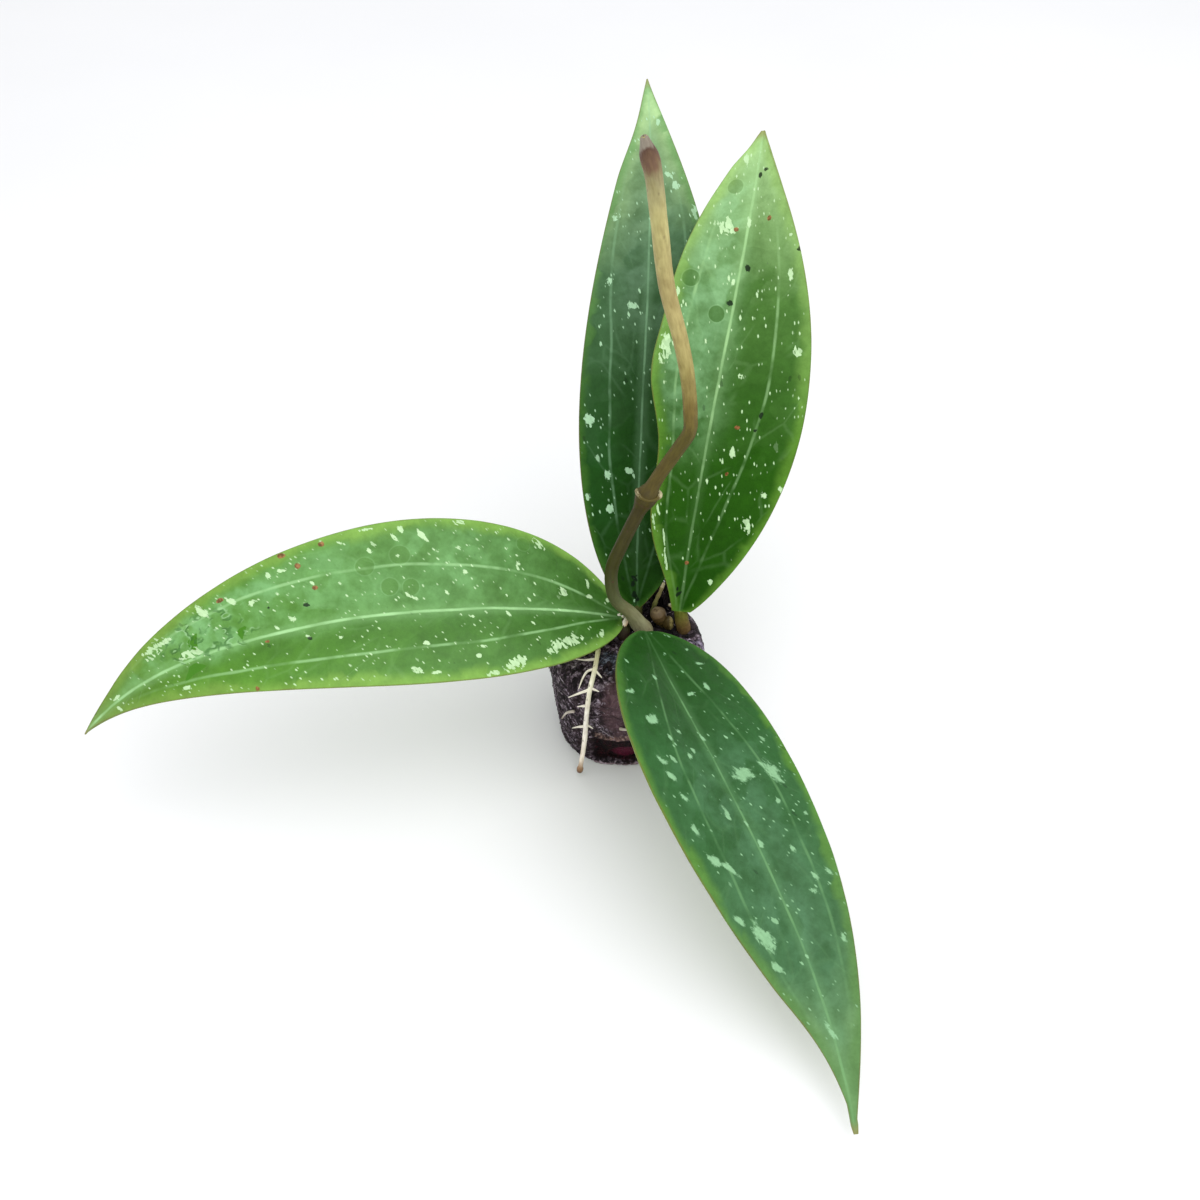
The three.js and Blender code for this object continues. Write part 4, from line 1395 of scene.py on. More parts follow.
BACK_LEFT_LEAF = Leaf(
    name="back_left_leaf", node="leaf_back_left", base=(3, 7.5, 38.5), length=138.5,
    heading=(-2, 4, -5), pitch=(67, 48, 40), roll=(-1, -1, 0),
    right=Half(20, 0.41, 0.85, ((0, 0.15), (0.15, 0.4), (0.3, 0.5), (0.5, 0.56), (0.7, 0.64), (1, 0.8))),
    left=Half(
        16, 0.39, 0.61,
        ((0, 0.2), (0.14, 0.39), (0.29, 0.5), (0.5, 0.54), (0.6, 0.68), (0.7, 0.74), (1, 0.85)),
        pinch=(0.24, 0.8, 0.94),
    ),
    cup=0.12, foot=(2.9, 6.6, 1.5), knee=(), seed=13.7,
    finish=LeafFinish(
        slot="leaf_blue_green", deep="1a4008", body="1e4b18", far="4a6d49", tip="b4d898",
        sheen="7a9c80", margin="3c6824", margin_tip="7aa86a", vein="8ab68c", splash="a8d0a8",
        sheen_hand=0.0, sheen_run=(0.4, 0.98), sheen_share=0.4, dark_hand=0.0, margin_width=2.6,
        gloss=0.06, fleck_share=0.6, lean=-20.0,
    ),
    marks={
        MarkKind.LACE: [
            (0.73, -0.81, 3.3, 1.8, 55), (0.74, 0.9, 4.2, 2.4, -30), (0.61, -0.72, 2.8, 1.6, 55),
        ],
        MarkKind.SPLASH: [
            (0.91, 0.55, 2, 1.2, -5), (0.81, 0.53, 2.9, 1.3, -55), (0.79, 0.65, 2.5, 1.6, -15),
            (0.57, -0.26, 3, 1.6, -70), (0.36, -0.83, 3.3, 2.6, -10), (0.27, -0.18, 2.3, 1.4, -65),
            (0.26, -0.53, 2.8, 1.3, -20), (0.2, -0.53, 2.7, 1.6, -30), (0.22, -0.92, 2.1, 1.3, -20),
            (0.15, -0.25, 3, 0.8), (0.02, -0.17, 0.9, 0.6),
        ],
        MarkKind.SPECK: [
            (0.065, -0.08, 2.4, 1.1, -60), (0.055, -0.14, 1.8, 0.9, 20), (0.07, -0.02, 1.2, 0.7, 40),
            (0.03, -0.08, 2, 1.2, -35), (0.022, 0.02, 1.4, 0.9, 30), (0.036, -0.14, 1, 0.7),
            (0.22, 0.3, 1, 0.9),
        ],
    },
)

BACK_RIGHT_LEAF = Leaf(
    name="back_right_leaf", node="leaf_back_right", base=(14, 3, 42), length=123,
    heading=(15, 17, 11), pitch=(72, 52, 43), roll=(-13, -19, 38),
    right=Half(
        22.5, 0.43, 0.82, ((0, 0.12), (0.08, 0.24), (0.25, 0.38), (0.41, 0.51), (0.77, 0.61), (1, 0.7)),
        flare=1.9,
    ),
    left=Half(
        16.5, 0.55, 0.93,
        ((0, 0.45), (0.05, 0.65), (0.26, 0.66), (0.36, 0.73), (0.46, 0.64), (0.75, 0.61), (1, 0.7)),
        pinch=(0.24, 0.92, 0.98), flare=2.3,
    ),
    cup=0.14, foot=(15.2, 2.9, 1.9), knee=((14.7, 2.9, 39),), ripple=Ripple(0.15, 0.08, 0.36),
    seed=21.1,
    finish=LeafFinish(
        slot="leaf_bright_green", deep="1c4a04", body="26550a", far="537e3a", tip="b4dc98",
        sheen="90c08c", margin="5f8e30", margin_tip="a0c878", vein="a8d494",
        stalk=("8aa04c", "56601e", "64502e", "5c4a34"), sheen_hand=-1.0, sheen_run=(0.28, 0.99),
        sheen_share=0.7, dark_hand=1.0, dark_share=0.15, margin_width=3.8, gloss=0.06,
        vein_share=0.85, vein_fade=0.75, fleck_share=0.85, lean=-15.0,
    ),
    marks={
        MarkKind.LACE: [
            (0.8, -0.42, 5.4, 3.9, -65), (0.8, -0.43, 5.6, 2.9, 20), (0.54, -0.85, 7.1, 3.4),
            (0.21, 0.76, 4.8, 2.9, -30), (0.58, 0.85, 2.7, 2.4, -15), (0.12, -0.76, 6, 0.6, -15),
            (0.17, -0.7, 6, 0.5, -15), (0.2, -0.93, 4.5, 0.6, -20), (0.23, -0.85, 3, 0.5, -20),
        ],
        MarkKind.SPLASH: [
            (0.81, 0.01, 2.6, 1.1, -10), (0.94, -0.6, 2.7, 1.3, -15), (0.72, 0.76, 3, 1.6, -15),
            (0.51, 0.24, 1.7, 1.3, -45), (0.28, 0.8, 2.1, 1.6, -50), (0.3, 0.96, 1.9, 1.3, -35),
            (0.6, -0.75, 4.2, 1.6, -15), (0.79, 0.87, 1, 1.2), (0.69, -0.07, 1.6, 0.8),
            (0.65, -0.88, 3.2, 1), (0.08, 0.66, 1.7, 1.2),
        ],
        MarkKind.SPOT: [
            (0.793, -0.21, 1, 1.1), (0.819, 0.46, 1.1, 0.9), (0.41, 0.29, 1.1, 1.2),
            (0.115, 0, 1, 1), (0.314, 0.29, 0.8, 0.8),
        ],
        MarkKind.SPECK: [
            (0.72, 0.11, 1.5, 1.3), (0.648, -0.06, 1.2, 1.6), (0.914, 0.48, 0.8, 1.3),
            (0.905, 0.17, 1, 0.8), (0.765, 0.97, 0.9, 1.2), (0.443, 0.52, 1.4, 0.8),
            (0.41, 0.49, 1, 1), (0.045, -0.3, 1.8, 0.9, 50), (0.056, -0.37, 1.1, 0.6),
        ],
        MarkKind.DROP: [(0.682, -0.74, 4.2, 4.2), (0.622, -0.23, 4, 4), (0.881, -0.53, 3.8, 3.8)],
    },
)

LEAVES = (LEFT_LEAF, FRONT_LEAF, BACK_LEFT_LEAF, BACK_RIGHT_LEAF)


# The plug


class PlugWaves:
    """Low waves round the plug, the same as in the solid part."""

    def __init__(self) -> None:
        """Draws the waves' starts and leans from the same stream of numbers."""
        state = 7
        draws = []
        for _ in range(12):
            state = (state * 1664525 + 1013904223) % 2**32
            draws.append(state / 2**32)
        leans = (0.12 * (draw - 0.5) for draw in draws[1::2])
        self.waves = list(zip((2, 3, 5, 7, 9, 12), (FULL_TURN * draw for draw in draws[::2]), leans))

    def at(self, angle: Array, z: Array) -> Array:
        """Gives the waves in one direction at one height, between about -1 and 1."""
        total = sum(
            np.sin(turns * angle + phase + lean * z * turns) / math.sqrt(turns)
            for turns, phase, lean in self.waves
        )
        return total / 1.4


@dataclass(frozen=True)
class Plug:
    """The tapered plug of matted fibre. Sizes are in millimetres.

    The lean is how far its foot stands from under its top. The rounding lists heights on the
    shoulder and how far it draws in there.
    """

    widest: float = 20.8
    foot: float = 16.3
    shoulder: float = 31.0
    lump: float = 0.35
    lean: Pair = (-1.3, 1.2)
    turns: int = 380
    hollow_depth: float = 2.4
    hollow_bottom: float = 1.5
    hollow_top: float = 14.4
    rounding: Knots = ((31, 0), (33.4, 0.35), (35, 1.4), (35.75, 2.7), (36, 4.4))
    waves: PlugWaves = PlugWaves()

    def middle(self, z: Array) -> Array:
        """Gives the middle of the plug at a height."""
        share = 1 - np.minimum(z, PLUG_TOP) / PLUG_TOP
        return np.stack([self.lean[0] * share, self.lean[1] * share], -1)

    def edge_height(self, angle: Array) -> Array:
        """Gives the height of the hollow's upper edge."""
        return self.hollow_top + 0.9 * self.waves.at(angle + 1, 9)

    def hollow_share(self, angle: Array) -> Array:
        """Gives how much of the hollow's depth a direction has."""
        return smooth_step(-126, -112, in_degrees(angle)) * smooth_step(-44, -58, in_degrees(angle))

    def inset(self, z: Array) -> Array:
        """Gives how far the rounded shoulder draws in at a height."""
        return np.interp(z, *np.array(self.rounding).T)

    def radius(self, angle: Array, z: Array) -> Array:
        """Gives the radius without the hollow and without the rounded shoulder."""
        taper = self.foot + (self.widest - self.foot) * z / self.shoulder
        return taper + self.lump * self.waves.at(angle, z)

    def beside(self, degrees: float, z: float, radius: float) -> Point:
        """Gives a place where a root of one radius lies just off the plug's side."""
        angle = math.radians(degrees)
        out = self.radius(angle, z) + radius + 0.3
        x, y = self.middle(z)
        return (x + out * math.cos(angle), y + out * math.sin(angle), z)

    def profile(self) -> list[tuple[float, float, float]]:
        """Lists the rows: a share of the radius, an inset and a height."""
        rows = [(share, 0.4, 0.0) for share in np.linspace(0, 1, 12) ** 0.7]
        rows += [(1.0, 0.1, 0.25)]
        rows += [(1.0, 0.0, z) for z in np.linspace(0.6, self.shoulder, 88)]
        rise = np.sin(np.linspace(0, 1, 18)[1:] * math.pi / 2)
        rows += [(1.0, self.inset(z), z) for z in self.shoulder + (PLUG_TOP - self.shoulder) * rise]
        last = 1 - self.inset(PLUG_TOP) / self.widest
        return rows + [(share, 0.0, PLUG_TOP) for share in np.linspace(last, 0, 60)[1:]]

    @staticmethod
    def blob(angle: Array, z: Array, at: Pair, size: Pair) -> Array:
        """Gives a soft patch on the side.

        Args:
            angle: The direction of each place.
            z: Its height.
            at: The patch's direction in degrees and its height.
            size: Its half widths round the plug in degrees and upwards.

        Returns:
            1 in the middle of the patch and 0 far from it.
        """
        return bell(in_degrees(angle) - at[0], size[0]) * bell(z - at[1], size[1])

    def build(self) -> None:
        """Builds and dresses the plug."""
        rows = np.array(self.profile())
        plug = add_grid("rooting_plug", len(rows) - 1, self.turns, thick=False)
        grid = places_of(plug)
        row = np.rint((grid[:, 0] + 1) / 2 * (len(rows) - 1)).astype(int)
        angle = math.pi * (grid[:, 1] + 1)
        share, inset, z = rows[row].T
        side = (share > 0.999).astype(float)
        on_top = (z > PLUG_TOP - 0.1) & (side < 0.5)
        plain = self.radius(angle, np.minimum(z, self.shoulder))
        spots = turned(plain, angle, z)
        coarse = ripples(spots, 3.4, 2.0)
        middling = ripples(spots, 1.25, 6.0)
        small = ripples(spots, 0.6, 11.0)
        ragged = ripples(np.c_[angle * 6, 0 * angle, 0 * angle + 4], 1.0, 3.3)
        frayed = ripples(np.c_[angle * 30, 0 * angle, 0 * angle + 8], 1.0, 9.1)
        above = z - self.edge_height(angle) - 0.9 * ragged - 0.5 * frayed
        floor = self.hollow_bottom + 0.35 * ragged - 0.25 * frayed
        facing = self.hollow_share(angle) * side
        inside = smooth_step(-0.2, 0.3, z - floor) * (1 - smooth_step(-0.35, 0.2, above)) * facing
        worn = np.maximum(self.blob(angle, z, (-97, 28), (15, 11)), self.blob(angle, z, (-86, 16), (17, 7)))
        rough = 0.22 * coarse + (0.32 * (0.5 - np.abs(middling) * 1.6) + 0.22 * small) * (1 - 0.75 * worn)
        radius = share * (plain - inset) - self.hollow_depth * inside + rough * side
        radius = (radius + 0.4 * facing * bell(above - 0.9, 0.8)) * (share > 1e-6)
        lift = (0.35 * coarse + 0.4 * middling + 0.2 * small) * smooth_step(0, 0.05, share) - 0.25
        lift = np.where(on_top, lift, 0.18 * middling * side * smooth_step(33, 35, z))
        places = turned(radius, angle, z + lift)
        places[:, :2] += self.middle(z)
        put_places(plug, places)
        east, north = places[:, :2].T
        blue = bell(east + 4.2, 3) * bell(north + 8.5, 4.6) * smooth_step(33, 35.5, z)
        frost = 0.8 * self.blob(angle, z, (-14, 34), (26, 4))
        # Painted shade: the plug's top and side darken round the stems' feet, where the leaves shade them.
        nook_shade = bell(np.hypot(east - 8, north - 4), 8.5, 4)
        put_readings(plug, {
            "worn": worn * (1 - inside),
            "hollow": inside,
            "blue": blue,
            "frost": np.maximum(frost, 0.22 * smooth_step(30, PLUG_TOP, z)),
            # Painted highlight along the bottom rim.
            "lip": facing * bell(z - 0.7, 0.6),
            # Painted deep-red highlight in the hollow.
            "wine": self.blob(angle, z, (-85, 5), (18, 3)),
            "fringe": self.blob(angle, z, (-98, 14), (22, 90)) * side * bell(above - 1.6, 2.0),
            "shade": np.where(on_top, 0.92, 0.25) * nook_shade,
        })
        close_up(plug, 0.02)
        smooth_over(plug, 75)
        finish = PlugFinish()
        finish_piece(plug, finish.make(), finish.slot, "plug")
        self.build_fibres()
        self.build_crumbs()

    def build_fibres(self) -> None:
        """Lays short loose fibres on the plug's side and top, and a tuft of thick dark fibres behind the
        stems that stands in for deep shade.
        """
        rng = np.random.default_rng(5)
        lines, radii, shades = [], [], []
        while len(lines) < 760:
            angle = rng.uniform(0, FULL_TURN)
            length = rng.uniform(0.7, 2.4) if len(lines) % 6 else rng.uniform(3, 6)
            steps = np.linspace(-0.5, 0.5, 5) * length
            if rng.uniform() < 0.78:
                z = rng.uniform(1, 35)
                way = rng.uniform(0, FULL_TURN)
                turn = angle + (steps * math.cos(way) + rng.normal(0, 0.15) * steps**2) / 19
                height = np.clip(z + steps * math.sin(way), 0.6, 35.2)
                in_hollow = self.hollow_share(angle) > 0.1 and z < 15
                if in_hollow or self.blob(angle, z, (-94, 23), (16, 12)) > rng.uniform(0.1, 1):
                    continue
                out = self.radius(turn, np.minimum(height, self.shoulder)) + rng.uniform(0.0, 0.3)
                out = out - self.inset(np.minimum(height, 35)) + 0.12 * np.sin(steps * 2 + way)
                line = turned(out, turn, height)
                line[:, :2] += self.middle(height)
            else:
                out = 16 * math.sqrt(rng.uniform(0, 1))
                way = rng.uniform(0, FULL_TURN)
                wavy = 0.05 + 0.2 * np.sin(steps * 1.3 + way)
                line = turned(out, angle, PLUG_TOP) + turned(steps, way, wavy)
                if np.hypot(line[:, 0], line[:, 1]).max() > 16.2:
                    continue
            lines.append(line)
            radii.append(rng.uniform(0.05, 0.1))
            shades.append(rng.uniform(0, 1))
        # A tuft of thick near-black fibres behind the stems: a dark mass put where the back leaves throw
        # deep shade, painted shade.
        for _ in range(130):
            foot = np.array([rng.uniform(7, 13.5), rng.uniform(10.5, 15.5), PLUG_TOP - 0.5])
            tip = foot + [rng.normal(0, 0.9), rng.normal(0.3, 0.8), rng.uniform(3, 9)]
            bow = np.array([rng.normal(0, 0.8), rng.normal(0, 0.8), 0])
            share = np.linspace(0, 1, 5)[:, None]
            lines.append(foot + (tip - foot) * share + bow * share * (1 - share) * 4)
            radii.append(rng.uniform(0.2, 0.55))
            shades.append(rng.uniform(0, 0.16))
        fibres = add_strands("plug_fibres", lines, radii, shades)
        stops = ((0.0, "171113"), (0.4, "3c3034"), (0.7, "7d7078"), (1.0, "c4b8c4"))
        finish_piece(fibres, CrumbFinish("loose_fibre", stops).make(), "plug_medium")

    def build_crumbs(self) -> None:
        """Scatters small broken crumbs on the plug's top, close round the stems' feet, those near the stems
        painted darker as shade.
        """
        rng = np.random.default_rng(11)
        start_clean()
        bpy.ops.mesh.primitive_ico_sphere_add(subdivisions=2, radius=MM)
        first = bpy.context.object
        shape = places_of(first) / MM
        crumbs = [first]
        spots = []
        for x, y, radius in [leaf.foot for leaf in LEAVES] + list(STEM_FEET):
            for turn in rng.uniform(0, FULL_TURN, 11):
                out = radius + rng.uniform(-0.1, 0.9)
                spots.append((x + out * math.cos(turn), y + out * math.sin(turn)))
        for _ in range(110):
            turn, out = rng.uniform(0, FULL_TURN), 17 * math.sqrt(rng.uniform(0, 1))
            spots.append((out * math.cos(turn), out * math.sin(turn)))
        for _ in spots[1:]:
            copy = first.copy()
            copy.data = first.data.copy()
            bpy.context.collection.objects.link(copy)
            crumbs.append(copy)
        for crumb, (x, y) in zip(crumbs, spots):
            size = rng.uniform(0.3, 0.95)
            stretch = rng.uniform(0.5, 1.25, 3) * size
            lumps = 1 + 0.35 * ripples(shape, 0.8, rng.uniform(0, 50))
            tumbled = np.array(Euler(rng.uniform(0, 6, 3)).to_matrix())
            body = (shape * lumps[:, None] * stretch) @ tumbled.T
            put_places(crumb, body + [x, y, PLUG_TOP + rng.uniform(-0.15, 0.25) * size])
            # Crumbs near the stems get darker tones: painted shade under the leaves.
            dark = bell(math.hypot(x - 8, y - 4), 9, 4)
            put_readings(crumb, {"shade": rng.uniform(0, 1 - 0.9 * dark)})
        heap = join_all(crumbs, "plug_crumbs")
        smooth_over(heap, 35)
        stops = ((0.0, "0b0809"), (0.6, "2c2226"), (1.0, "7b6d76"))
        finish_piece(heap, CrumbFinish("loose_crumb", stops).make(), "plug_medium")


# The vine, the stub and the tendril


@dataclass(frozen=True)
class Vine:
    """The bare climbing vine with the ring and scars of an old leaf pair."""

    route: tuple[Point, ...] = (
        (4.9, 2.5, 33), (4.8, 2.4, 36.3), (3.5, 1.8, 38.9), (1, 0.6, 44.5), (-2.7, 0, 49.6),
        (-3.9, 0, 54.7), (-3.8, 0.5, 60.8), (-1.6, 1.5, 67), (1.7, 3, 74.7), (4.6, 4.5, 80.9),
        (7.1, 5.5, 85.8), (11.4, 6.5, 93), (13.8, 7, 97.6), (13.8, 7.5, 102), (12.7, 8.5, 111.6),
        (10.7, 9.5, 120.8), (7.3, 10.5, 133.1), (5.1, 10.5, 148.3), (3.5, 10, 159),
        (2.5, 9.8, 162.6), (1.5, 9.5, 166.2),
    )
    node_place: Point = (4.6, 4.5, 80.9)
    foot_radius: float = 2.4
    radius: float = 1.65
    tip_radius: float = 1.8
    bud_radius: float = 1.95
    stations: int = 420

    def radii(self, t: Array) -> Array:
        """Gives the radius along the vine, as in the solid part."""
        lower = self.foot_radius + (self.radius - self.foot_radius) * smooth_step(0.02, 0.11, t)
        upper = (self.tip_radius - self.radius) * smooth_step(0.55, 0.85, t)
        bud = (self.bud_radius - self.tip_radius) * smooth_step(0.93, 0.96, t)
        return lower + upper + bud - 1.1 * smooth_step(0.965, 1, t)

    def build(self) -> None:
        """Builds and dresses the vine."""
        line, length = smooth_route(self.route, self.stations)
        t = np.linspace(0, 1, self.stations)
        at_node = int(np.argmin(gaps(line, self.node_place)))
        past = (t - t[at_node]) * length
        collar = bell(past + 0.4, np.where(past > -0.4, 1.9, 2.8), 2.4) + 0.12 * bell(past, 3.5)
        wobble = 0.05 * ripples(line, 6, 4.0) + 0.03 * ripples(line, 1.6, 8.0)
        radii = rounded_radii(self.radii(t) + collar + wobble, line, False, True)
        vine = add_tube("climbing_vine", line, radii, sides=28)
        places = places_of(vine) / MM
        ring = np.rint(read_back(vine, "along") * (self.stations - 1)).astype(int)
        dot = bell(gaps(places, (-3.6, -1.6, 57.5)), 0.45)
        # A band of painted shade just under the node's rim, stored with the real dark spot.
        shade_under_rim = 0.5 * bell(past[ring] + 1.9, 0.5, 4)
        foot_fleck = bell(gaps(places, (6.0, 1.0, 36.8)), 0.7)
        put_readings(vine, {"scar": foot_fleck, "spot": np.maximum(dot, shade_under_rim)})
        close_up(vine)
        rim = self.build_rim(line[at_node], unit(line[at_node + 3] - line[at_node - 3]))
        vine = join_all([vine, rim], "climbing_vine")
        smooth_over(vine)
        # From 0.15 to 0.5 the bark darkens where the vine runs up under the leaves: partly its own brown,
        # partly painted shade.
        stops = (
            (0.0, "a09c7c"), (0.07, "92926e"), (0.11, "6c6e48"), (0.15, "545a36"), (0.22, "3c3c0e"),
            (0.34, "3e370e"), (0.42, "584c1c"), (0.5, "564e1a"), (0.56, "7c6a32"), (0.62, "a39658"),
            (0.7, "bcae72"), (0.76, "ae9f68"), (0.88, "c2ba7c"), (0.943, "9e966c"), (0.965, "7b6048"),
            (0.982, "60463a"), (0.991, "8f8678"),
        )
        finish_piece(vine, StemFinish("vine_bark", stops).make(), "vine_bark", "main_vine")

    def build_rim(self, place: Array, up: Array) -> Piece:
        """Builds the cream rim that the old leaf pair left: a cup that rises to an ear on each side.

        Args:
            place: The middle of the node.
            up: The way that the vine runs there.

        Returns:
            The rim, with the readings that stems have.
        """
        side = unit(np.cross([0, -1, 0], up))
        front = np.cross(side, up)
        turn = np.linspace(0, FULL_TURN, 96)
        at_side = np.cos(turn) ** 2
        reach = 2.6 + 0.1 * at_side
        height = -0.3 + 0.7 * at_side - 0.8 * np.cos(turn)
        loop = place + side * (reach * np.cos(turn))[:, None] + front * (reach * np.sin(turn))[:, None]
        loop = loop + up * height[:, None]
        thick = 0.34 + 0.24 * at_side + 0.1 * ripples(loop, 0.9, 31)
        rim = add_tube("rim", loop, thick, sides=12)
        facing = np.cos(FULL_TURN * read_back(rim, "along"))
        cream = 0.16 + (0.46 - 0.2 * facing) * np.abs(facing) ** 3
        put_readings(rim, {"scar": cream, "along": 0.45, "spot": 0})
        close_up(rim)
        return rim


def add_ball(name: str, place: Array, stretch: Triple, lumps: float, seed: float) -> Piece:
    """Adds a small lumpy ball.

    Args:
        name: The name of the new piece.
        place: Its middle, in millimetres.
        stretch: Its radii along each axis, in millimetres.
        lumps: How uneven it is, as a share of its radius.
        seed: Moves the noise, so that balls differ.

    Returns:
        The ball, with the readings that stems have.
    """
    start_clean()
    bpy.ops.mesh.primitive_ico_sphere_add(subdivisions=4, radius=MM)
    ball = bpy.context.object
    ball.name = name
    shape = places_of(ball) / MM
    uneven = 1 + lumps * ripples(shape, 0.7, seed)
    body = shape * uneven[:, None] * np.array(stretch)
    put_places(ball, body + np.asarray(place))
    put_readings(ball, {"along": 0.5, "grain": body})
    return ball


@dataclass(frozen=True)
class Stub:
    """The short cut stub with a bud on its right side, and the thin tendril behind it."""

    foot: Triple = STEM_FEET[1]

    def build(self) -> None:
        """Builds and dresses the stub and the tendril."""
        x, y, foot = self.foot
        route = [(x, y, PLUG_TOP - SUNK), (x, y, 35), (9.2, 5, 37.8), (8.3, 4.8, 40.2), (8, 4.7, 41.6)]
        line, _ = smooth_route(route, 60)
        t = np.linspace(0, 1, 60)
        swell = foot + 0.3 * smooth_step(0.45, 0.8, t) + 0.07 * np.sin(t * 40)
        radii = rounded_radii(swell, line, False, True)
        body = add_tube("short_stub", line, radii, sides=24)
        places = places_of(body) / MM
        top = gaps(places[:, :2], (8, 4.7))
        ring = 0.42 * bell(top - 0.95, 0.3) * smooth_step(40.4, 41.0, places[:, 2])
        pith = 0.42 * bell(top, 0.5) * smooth_step(40.6, 41.2, places[:, 2])
        put_readings(body, {"scar": ring, "spot": pith})
        close_up(body)
        bud = add_ball("bud", np.array([11.2, 3.7, 37.4]), (1.5, 1.4, 2.2), 0.16, 51.0)
        tan = np.clip((places_of(bud)[:, 0] / MM - 10.6) / 1.2, 0, 1)
        put_readings(bud, {"scar": 0.52 * tan, "spot": 0})
        stub = join_all([body, bud], "short_stub")
        smooth_over(stub)
        stops = ((0.0, "2e2810"), (0.35, "3c3412"), (0.6, "463816"), (0.85, "584628"), (1.0, "6c5c44"))
        bark = StemFinish("stub_bark", stops, scar="9c9058", fleck="3d2318", depth=0.0002)
        finish_piece(stub, bark.make(), "stub_bark", "cut_stub")

        x, y, _ = STEM_FEET[2]
        route = [(x, y, PLUG_TOP - SUNK), (x, y, 36.3), (7.9, 9, 40), (9, 9.1, 43.6), (9.9, 9.2, 47)]
        line, _ = smooth_route(route, 60)
        radii = rounded_radii(0.7 - 0.25 * t + 0.05 * np.sin(t * 31), line, False, True)
        tendril = add_tube("thin_tendril", line, radii, sides=12)
        put_readings(tendril, {"scar": smooth_step(0.88, 0.98, read_back(tendril, "along")), "spot": 0})
        close_up(tendril)
        smooth_over(tendril)
        stops = ((0.0, "55522c"), (0.5, "7c7f46"), (0.85, "94885a"), (1.0, "ab946c"))
        finish_piece(tendril, StemFinish("tendril_dry", stops).make(), "tendril_dry", "dry_tendril")


# Roots


@dataclass(frozen=True)
class Roots:
    """The thick hanging root with its side branches, and two short roots on the plug."""

    plug: Plug
    radius: float = 0.75
    branch_radius: float = 0.42
    slimming: float = 0.84

    def branch(self, name: str, points: list[Point], thin: float, stations: int, seed: float) -> Piece:
        """Adds one thin uneven root.

        Args:
            name: The name of the new piece.
            points: Its route, in millimetres.
            thin: How much thinner its tip is, as a share.
            stations: How many stations it gets.
            seed: Moves the unevenness, so that roots differ.

        Returns:
            The root, as a closed tube.
        """
        line, _ = smooth_route(points, stations)
        t = np.linspace(0, 1, stations)
        uneven = 1 + 0.14 * ripples(line, 1.7, seed) + 0.08 * ripples(line, 0.6, seed + 3)
        radii = self.branch_radius * (1 - thin * t) * uneven
        root = add_tube(name, line, rounded_radii(radii, line, True, True), sides=14)
        put_readings(root, {"scar": 0, "spot": 0})
        close_up(root)
        return root

    def build(self) -> None:
        """Builds and dresses all roots."""
        low = PLUG_TOP + 0.3 + self.radius
        route = [
            (-7.2, -4.9, low), (-7.8, -9.8, low), (-8.5, -14.5, low), (-9.1, -17.1, low - 0.6),
            (-9.6, -18.8, 34.7), (-10, -19.7, 31), (-10.4, -19.7, 25.5), (-10.8, -19.3, 18),
            (-11.3, -18.9, 12), (-12, -18.5, 5.5), (-12.4, -18.3, 2),
        ]
        line, _ = smooth_route(route, 220)
        t = np.linspace(0, 1, 220)
        radii = self.slimming * self.radius * (1 + 0.4 * smooth_step(0.94, 0.97, t))
        radii = radii * (1 + 0.1 * ripples(line, 2.4, 2.0) + 0.06 * ripples(line, 0.8, 5.0))
        main = add_tube("hanging_root", line, rounded_radii(radii, line, True, True), sides=18)
        put_readings(main, {"scar": 0, "spot": 0})
        close_up(main)
        low = low - 0.2
        branches = [
            [(-7.6, -8.6, low), (-10.7, -8.9, low), (-13.3, -8.5, low)],
            [(-8.1, -12.1, low), (-9.8, -12.6, low), (-11, -14.4, low - 0.2), (-12.3, -17.3, 35)],
            [(-8, -12.6, low), (-6.3, -15, low)],
            [(-9.4, -18, 35.8), (-12.2, -17.9, 34.2), (-15, -16.2, 30.6)],
            [(-9.2, -17.6, 36), (-7, -18.6, 35.7)],
            [(-10, -19.6, 31.4), (-12.7, -18.2, 29.4)],
            [(-10.5, -19.5, 24), (-8.6, -19.9, 22.6)],
            [(-10.5, -19.4, 23), (-12.6, -17.9, 20.8), (-14.2, -16.2, 18.2)],
        ]
        parts = [main]
        for k, points in enumerate(branches):
            parts.append(self.branch("branch", points, 0.75, 26, 3.0 + k))
            put_readings(parts[-1], {"along": 0.4})
        root = join_all(parts, "hanging_root")
        smooth_over(root)
        stops = (
            (0.0, "eeeab2"), (0.2, "f8f4d8"), (0.5, "fffaf0"),
            (0.88, "fbeedc"), (0.95, "b08a66"), (1.0, "5d4236"),
        )
        cream = StemFinish("root_cream", stops, fleck="3f2f28", base_roughness=0.42, freckles=0.6)
        finish_piece(root, cream.make(), "root_cream", "main_root")
        sides = {
            "left_root": ("side_root_left", ((-130, 24), (-140, 19.5), (-151, 12.5))),
            "front_root": ("side_root_front", ((-94, 22.8), (-89, 22.3), (-83, 22.6))),
        }
        stops = ((0.0, "b9afa4"), (0.5, "d8d0c6"), (1.0, "aca094"))
        grey = StemFinish("root_grey", stops, fleck="4a3d38", base_roughness=0.6).make()
        for name, (node, places) in sides.items():
            points = [self.plug.beside(a, z, self.branch_radius) for a, z in places]
            piece = self.branch(name, points, 0.55, 40, 12.0 + len(name))
            smooth_over(piece)
            finish_piece(piece, grey, "root_grey", node)


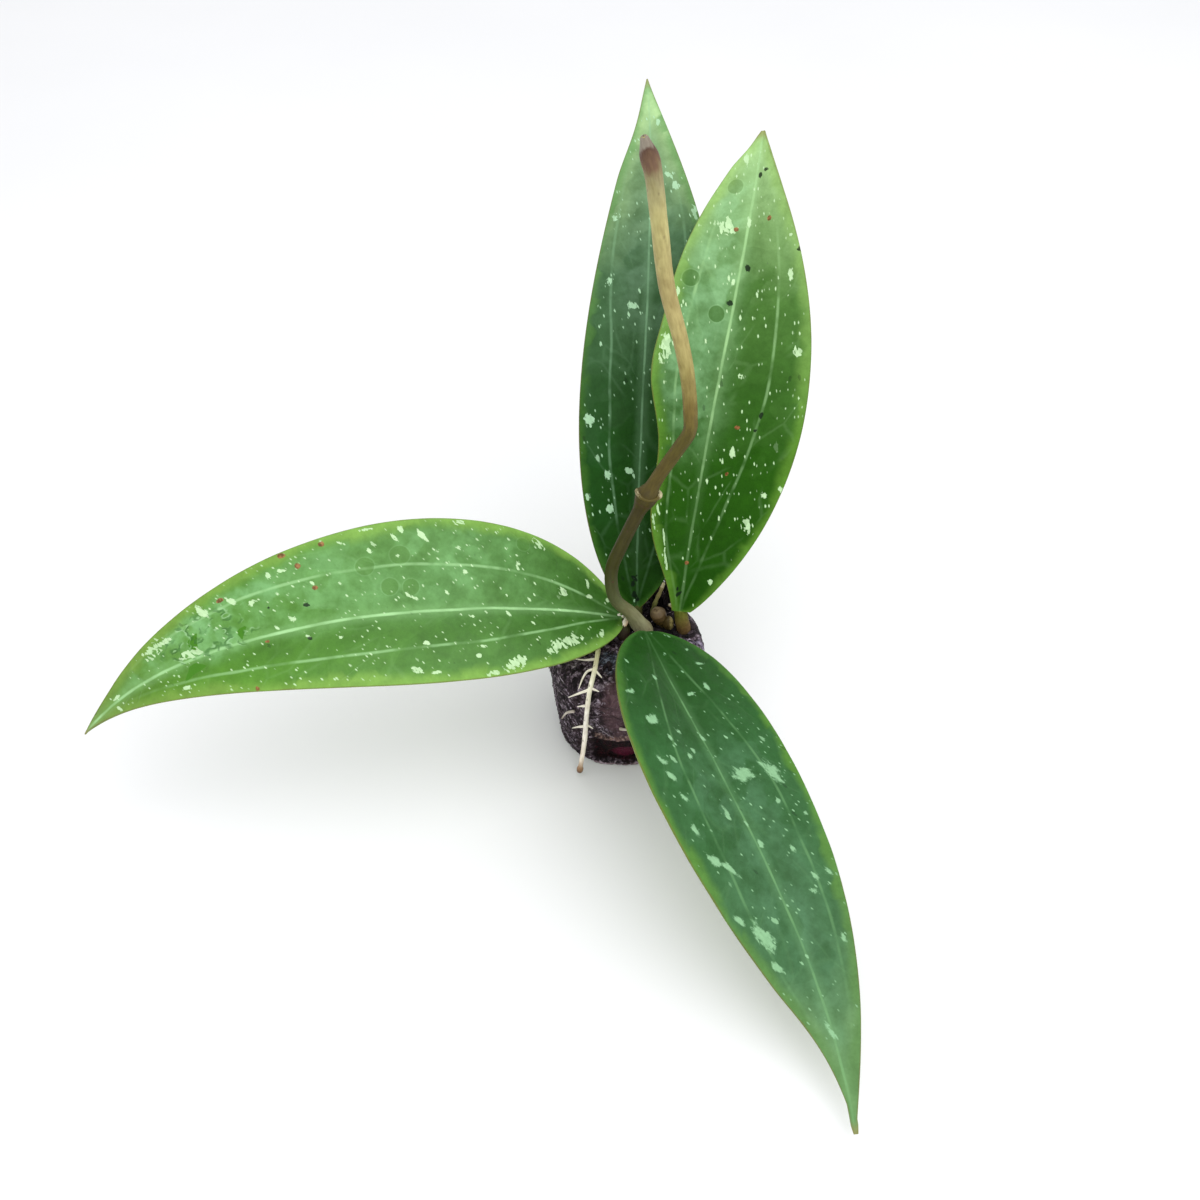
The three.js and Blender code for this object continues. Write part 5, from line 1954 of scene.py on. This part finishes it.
@dataclass(frozen=True)
class Flakes:
    """Small torn flakes of dry cream skin at the feet of the leaves."""

    places: tuple[tuple[Point, Point, float], ...] = (
        ((-1.3, 1.2, 42.6), (35, 25, 120), 2.6),
        ((-0.2, 0.4, 41.4), (20, -35, 65), 2.5),
        ((12.4, 7.4, 40.2), (60, 10, -20), 2.2),
    )

    def build(self) -> None:
        """Builds and dresses the flakes."""
        parts = []
        for k, (place, angles, size) in enumerate(self.places):
            flake = add_grid("flake", 10, 6, thick=True)
            grid = places_of(flake)
            x, y, z = grid.T
            torn = 1 + 0.4 * ripples(np.c_[x * 2, y * 2, 0 * x], 1.0, 5.0 + 7 * k)
            shape = np.c_[x * torn * size / 2, y * torn * size * 0.26 * (1.1 - 0.5 * x * x), z * 0.12]
            shape[:, 2] += 0.35 * x * x + 0.2 * np.sin(3 * y + 2 * x)
            tilted = np.array(Euler([math.radians(a) for a in angles]).to_matrix())
            put_places(flake, shape @ tilted.T + np.array(place))
            put_reading(flake, "shade", 0.5 + 0.5 * y)
            close_up(flake)
            parts.append(flake)
        flakes = join_all(parts, "torn_flakes")
        smooth_over(flakes, 50)
        stops = ((0.0, "b39a78"), (0.5, "e0d6ba"), (1.0, "f4efe0"))
        finish_piece(flakes, CrumbFinish("torn_skin", stops).make(), "tendril_dry")


# The studio


@dataclass(frozen=True)
class Studio:
    """The pale floor, the soft light and the camera."""

    camera_place: Point = (-6.825, -215.87, 265.61)
    camera_tilt: float = 45.0
    lens: float = 36.0
    key_place: Point = (200, -290, 860)
    key_size: float = 1.1
    key_power: float = 4.9
    sky: float = 0.98

    def build(self) -> None:
        """Builds the floor, the light and the camera."""
        scene = bpy.context.scene
        scene.view_settings.view_transform = "Standard"
        start_clean()
        bpy.ops.mesh.primitive_plane_add(size=9)
        floor = bpy.context.object
        floor.name = "pale_floor"
        shader = Shader("pale_floor", {"Specular IOR Level": 0.1})
        mist = shader.clouds(shader.place(), 6, 2)
        colour = shader.ramp(mist, (0.3, "ebebec"), (0.7, "eeeeef"))
        floor.data.materials.append(shader.dress(colour, 0.7 + mist * 0.1, mist, 0.00002))

        bpy.ops.object.light_add(type="AREA", location=Vector(self.key_place) * MM)
        key = bpy.context.object
        key.name = "key_light"
        key.data.shape = "DISK"
        key.data.size = self.key_size
        key.data.energy = self.key_power
        aim = Vector((0, 0, 0.04)) - key.location
        key.rotation_euler = aim.to_track_quat("-Z", "Y").to_euler()

        world = bpy.data.worlds.new("studio_air")
        scene.world = world
        world.use_nodes = True
        sky = next(n for n in world.node_tree.nodes if n.type == "BACKGROUND")
        sky.inputs["Color"].default_value = (0.975, 0.985, 1.0, 1.0)
        sky.inputs["Strength"].default_value = self.sky

        bpy.ops.object.camera_add(location=Vector(self.camera_place) * MM)
        camera = bpy.context.object
        camera.name = "photo_camera"
        camera.rotation_euler = (math.radians(self.camera_tilt), 0, 0)
        camera.data.lens = self.lens
        camera.data.sensor_width = 36.0
        camera.data.clip_start = 0.01
        camera.data.clip_end = 20
        scene.camera = camera


def main() -> None:
    """Builds every piece in order."""
    logging.basicConfig(level=logging.INFO, format="%(message)s")
    Studio().build()
    for leaf in LEAVES:
        leaf.build()
    plug = Plug()
    plug.build()
    Vine().build()
    Stub().build()
    Roots(plug).build()
    Flakes().build()
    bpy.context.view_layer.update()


if __name__ == "__main__":
    main()
